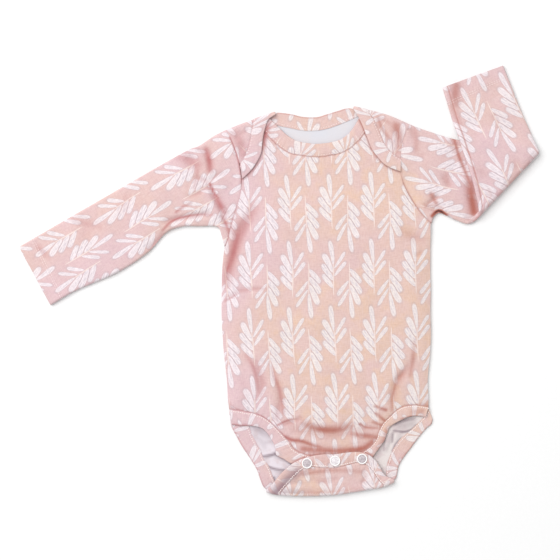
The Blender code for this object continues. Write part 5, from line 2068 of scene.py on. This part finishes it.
def stitch_tree():
    """A tree that lays grains of thread along the edges of a mesh."""
    tree = bpy.data.node_groups.new("stitches", "GeometryNodeTree")
    tree.interface.new_socket("Geometry", in_out="INPUT", socket_type="NodeSocketGeometry")
    for name in ("Spacing", "Length", "Width", "Lean"):
        tree.interface.new_socket(name, in_out="INPUT", socket_type="NodeSocketFloat")
    tree.interface.new_socket("Seed", in_out="INPUT", socket_type="NodeSocketInt")
    tree.interface.new_socket("Geometry", in_out="OUTPUT", socket_type="NodeSocketGeometry")
    start = Shade(tree)
    given = {socket.name: Shade(tree, socket) for socket in tree.nodes.new("NodeGroupInput").outputs}
    curve = start.node("GeometryNodeMeshToCurve", None, {"Mesh": given["Geometry"]})
    spaced = {"Curve": curve, "Length": given["Spacing"]}
    points = start.node("GeometryNodeCurveToPoints", {"mode": "LENGTH"}, spaced)
    tangent = Shade(tree, points.socket.node.outputs["Tangent"])
    along = start.node("FunctionNodeAlignRotationToVector", {"axis": "Z"}, {"Vector": tangent})
    index = start.node("GeometryNodeInputIndex")
    lean = (index.maths("MODULO", index, 2.0) * 2 - 1) * given["Lean"]
    sideways = start.node("FunctionNodeAxisAngleToRotation", None, {"Axis": (0, 0, 1), "Angle": lean})
    spun = {"Rotation": along, "Rotate By": sideways}
    turn = start.node("FunctionNodeRotateRotation", {"rotation_space": "GLOBAL"}, spun)
    drawn = {2: STITCH_HALVES[0], 3: STITCH_HALVES[1], 8: given["Seed"]}
    uneven = start.node("FunctionNodeRandomValue", {"data_type": "FLOAT"}, drawn, 1)
    sizes = {"X": given["Width"] * 0.5, "Y": given["Width"] * 0.5, "Z": given["Length"] * uneven}
    scale = start.node("ShaderNodeCombineXYZ", None, sizes)
    faces = {"Segments": STITCH_SEGMENTS, "Rings": STITCH_RINGS, "Radius": 1.0}
    grain = start.node("GeometryNodeMeshUVSphere", None, faces)
    grain = start.node("GeometryNodeSetShadeSmooth", None, {0: grain})
    laid = {"Points": points, "Instance": grain, "Rotation": turn, "Scale": scale}
    grains = start.node("GeometryNodeInstanceOnPoints", None, laid)
    whole = start.node("GeometryNodeRealizeInstances", None, {0: grains})
    sewn = start.node("GeometryNodeSetMaterial", None, {"Geometry": whole, "Material": thread})
    tree.links.new(sewn.socket, tree.nodes.new("NodeGroupOutput").inputs[0])
    return tree


stitches = stitch_tree()
print("tree of stitches:", len(stitches.nodes), "nodes")

# %% Stitches
SEWN_POINT = 2
THREAD_LIFT = 0.03


def sewn_rows(rings):
    """The row of stitches beside a binding's seam, on the side that looks up, in stretches."""
    outer, inner = rings[:, SEWN_POINT], rings[:, -1 - SEWN_POINT]
    up = outer[:, 2] > inner[:, 2]
    row = np.where(up[:, None], outer, inner)
    ends = [0, *(np.flatnonzero(np.diff(up)) + 1), len(up)]
    return [row[a:b] for a, b in zip(ends, ends[1:])]


def stitch(name, rows, spacing, length, width, lean, seed):
    """Stitches along rows of points, as one plain mesh. Sizes are in mm and the lean in degrees."""
    starts = np.cumsum([0, *(len(row) for row in rows)])
    edges = [(i, i + 1) for a, b in zip(starts, starts[1:]) for i in range(a, b - 1)]
    mesh = bpy.data.meshes.new(name)
    mesh.from_pydata((np.vstack(rows) + (0, 0, THREAD_LIFT)) * MM, edges, [])
    piece = add_object(name, mesh)
    laying = piece.modifiers.new("stitches", "NODES")
    laying.node_group = stitches
    values = {
        "Spacing": spacing * MM,
        "Length": length * MM,
        "Width": width * MM,
        "Lean": radians(lean),
        "Seed": seed,
    }
    for item in stitches.interface.items_tree:
        if item.in_out == "INPUT" and item.name in values:
            laying[item.identifier] = values[item.name]
    apply_modifiers(piece)
    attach(piece, "root")
    return piece


neck_rows = [*sewn_rows(neck_front_rings), *sewn_rows(neck_back_rings)]
leg_rows = [*sewn_rows(leg_front_rings), *sewn_rows(leg_back_rings)]
#    name, rows, spacing, length, width, lean, seed
for row in (
    ("stitches_of_neck", neck_rows, 2.6, 2.0, 0.45, 6.0, 1),
    ("stitches_of_legs", leg_rows, 2.2, 2.1, 0.9, 20.0, 2),
    ("stitches_of_hems", [*hem_left, *hem_right], 2.6, 2.0, 0.35, 0.0, 3),
):
    print(row[0], len(stitch(*row).data.polygons), "faces")

# %% [markdown]
# ## Each piece rides on the garment and stands for its solid

# %% Pieces and their solids
for piece, node, slot in (
    (front, "front_panel", "jersey_front"),
    (back, "back_panel", "jersey_back"),
    (sleeve_left, "sleeve_left", "jersey_sleeve_left"),
    (sleeve_right, "sleeve_right", "jersey_sleeve_right"),
    (neck_binding_front, "neck_binding_front", "binding_neck_front"),
    (neck_binding_back, "neck_binding_back", "binding_neck_back"),
    (leg_binding_front, "leg_binding_front", "binding_leg_front"),
    (leg_binding_back, "leg_binding_back", "binding_leg_back"),
):
    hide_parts(node)
    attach(piece, "root")
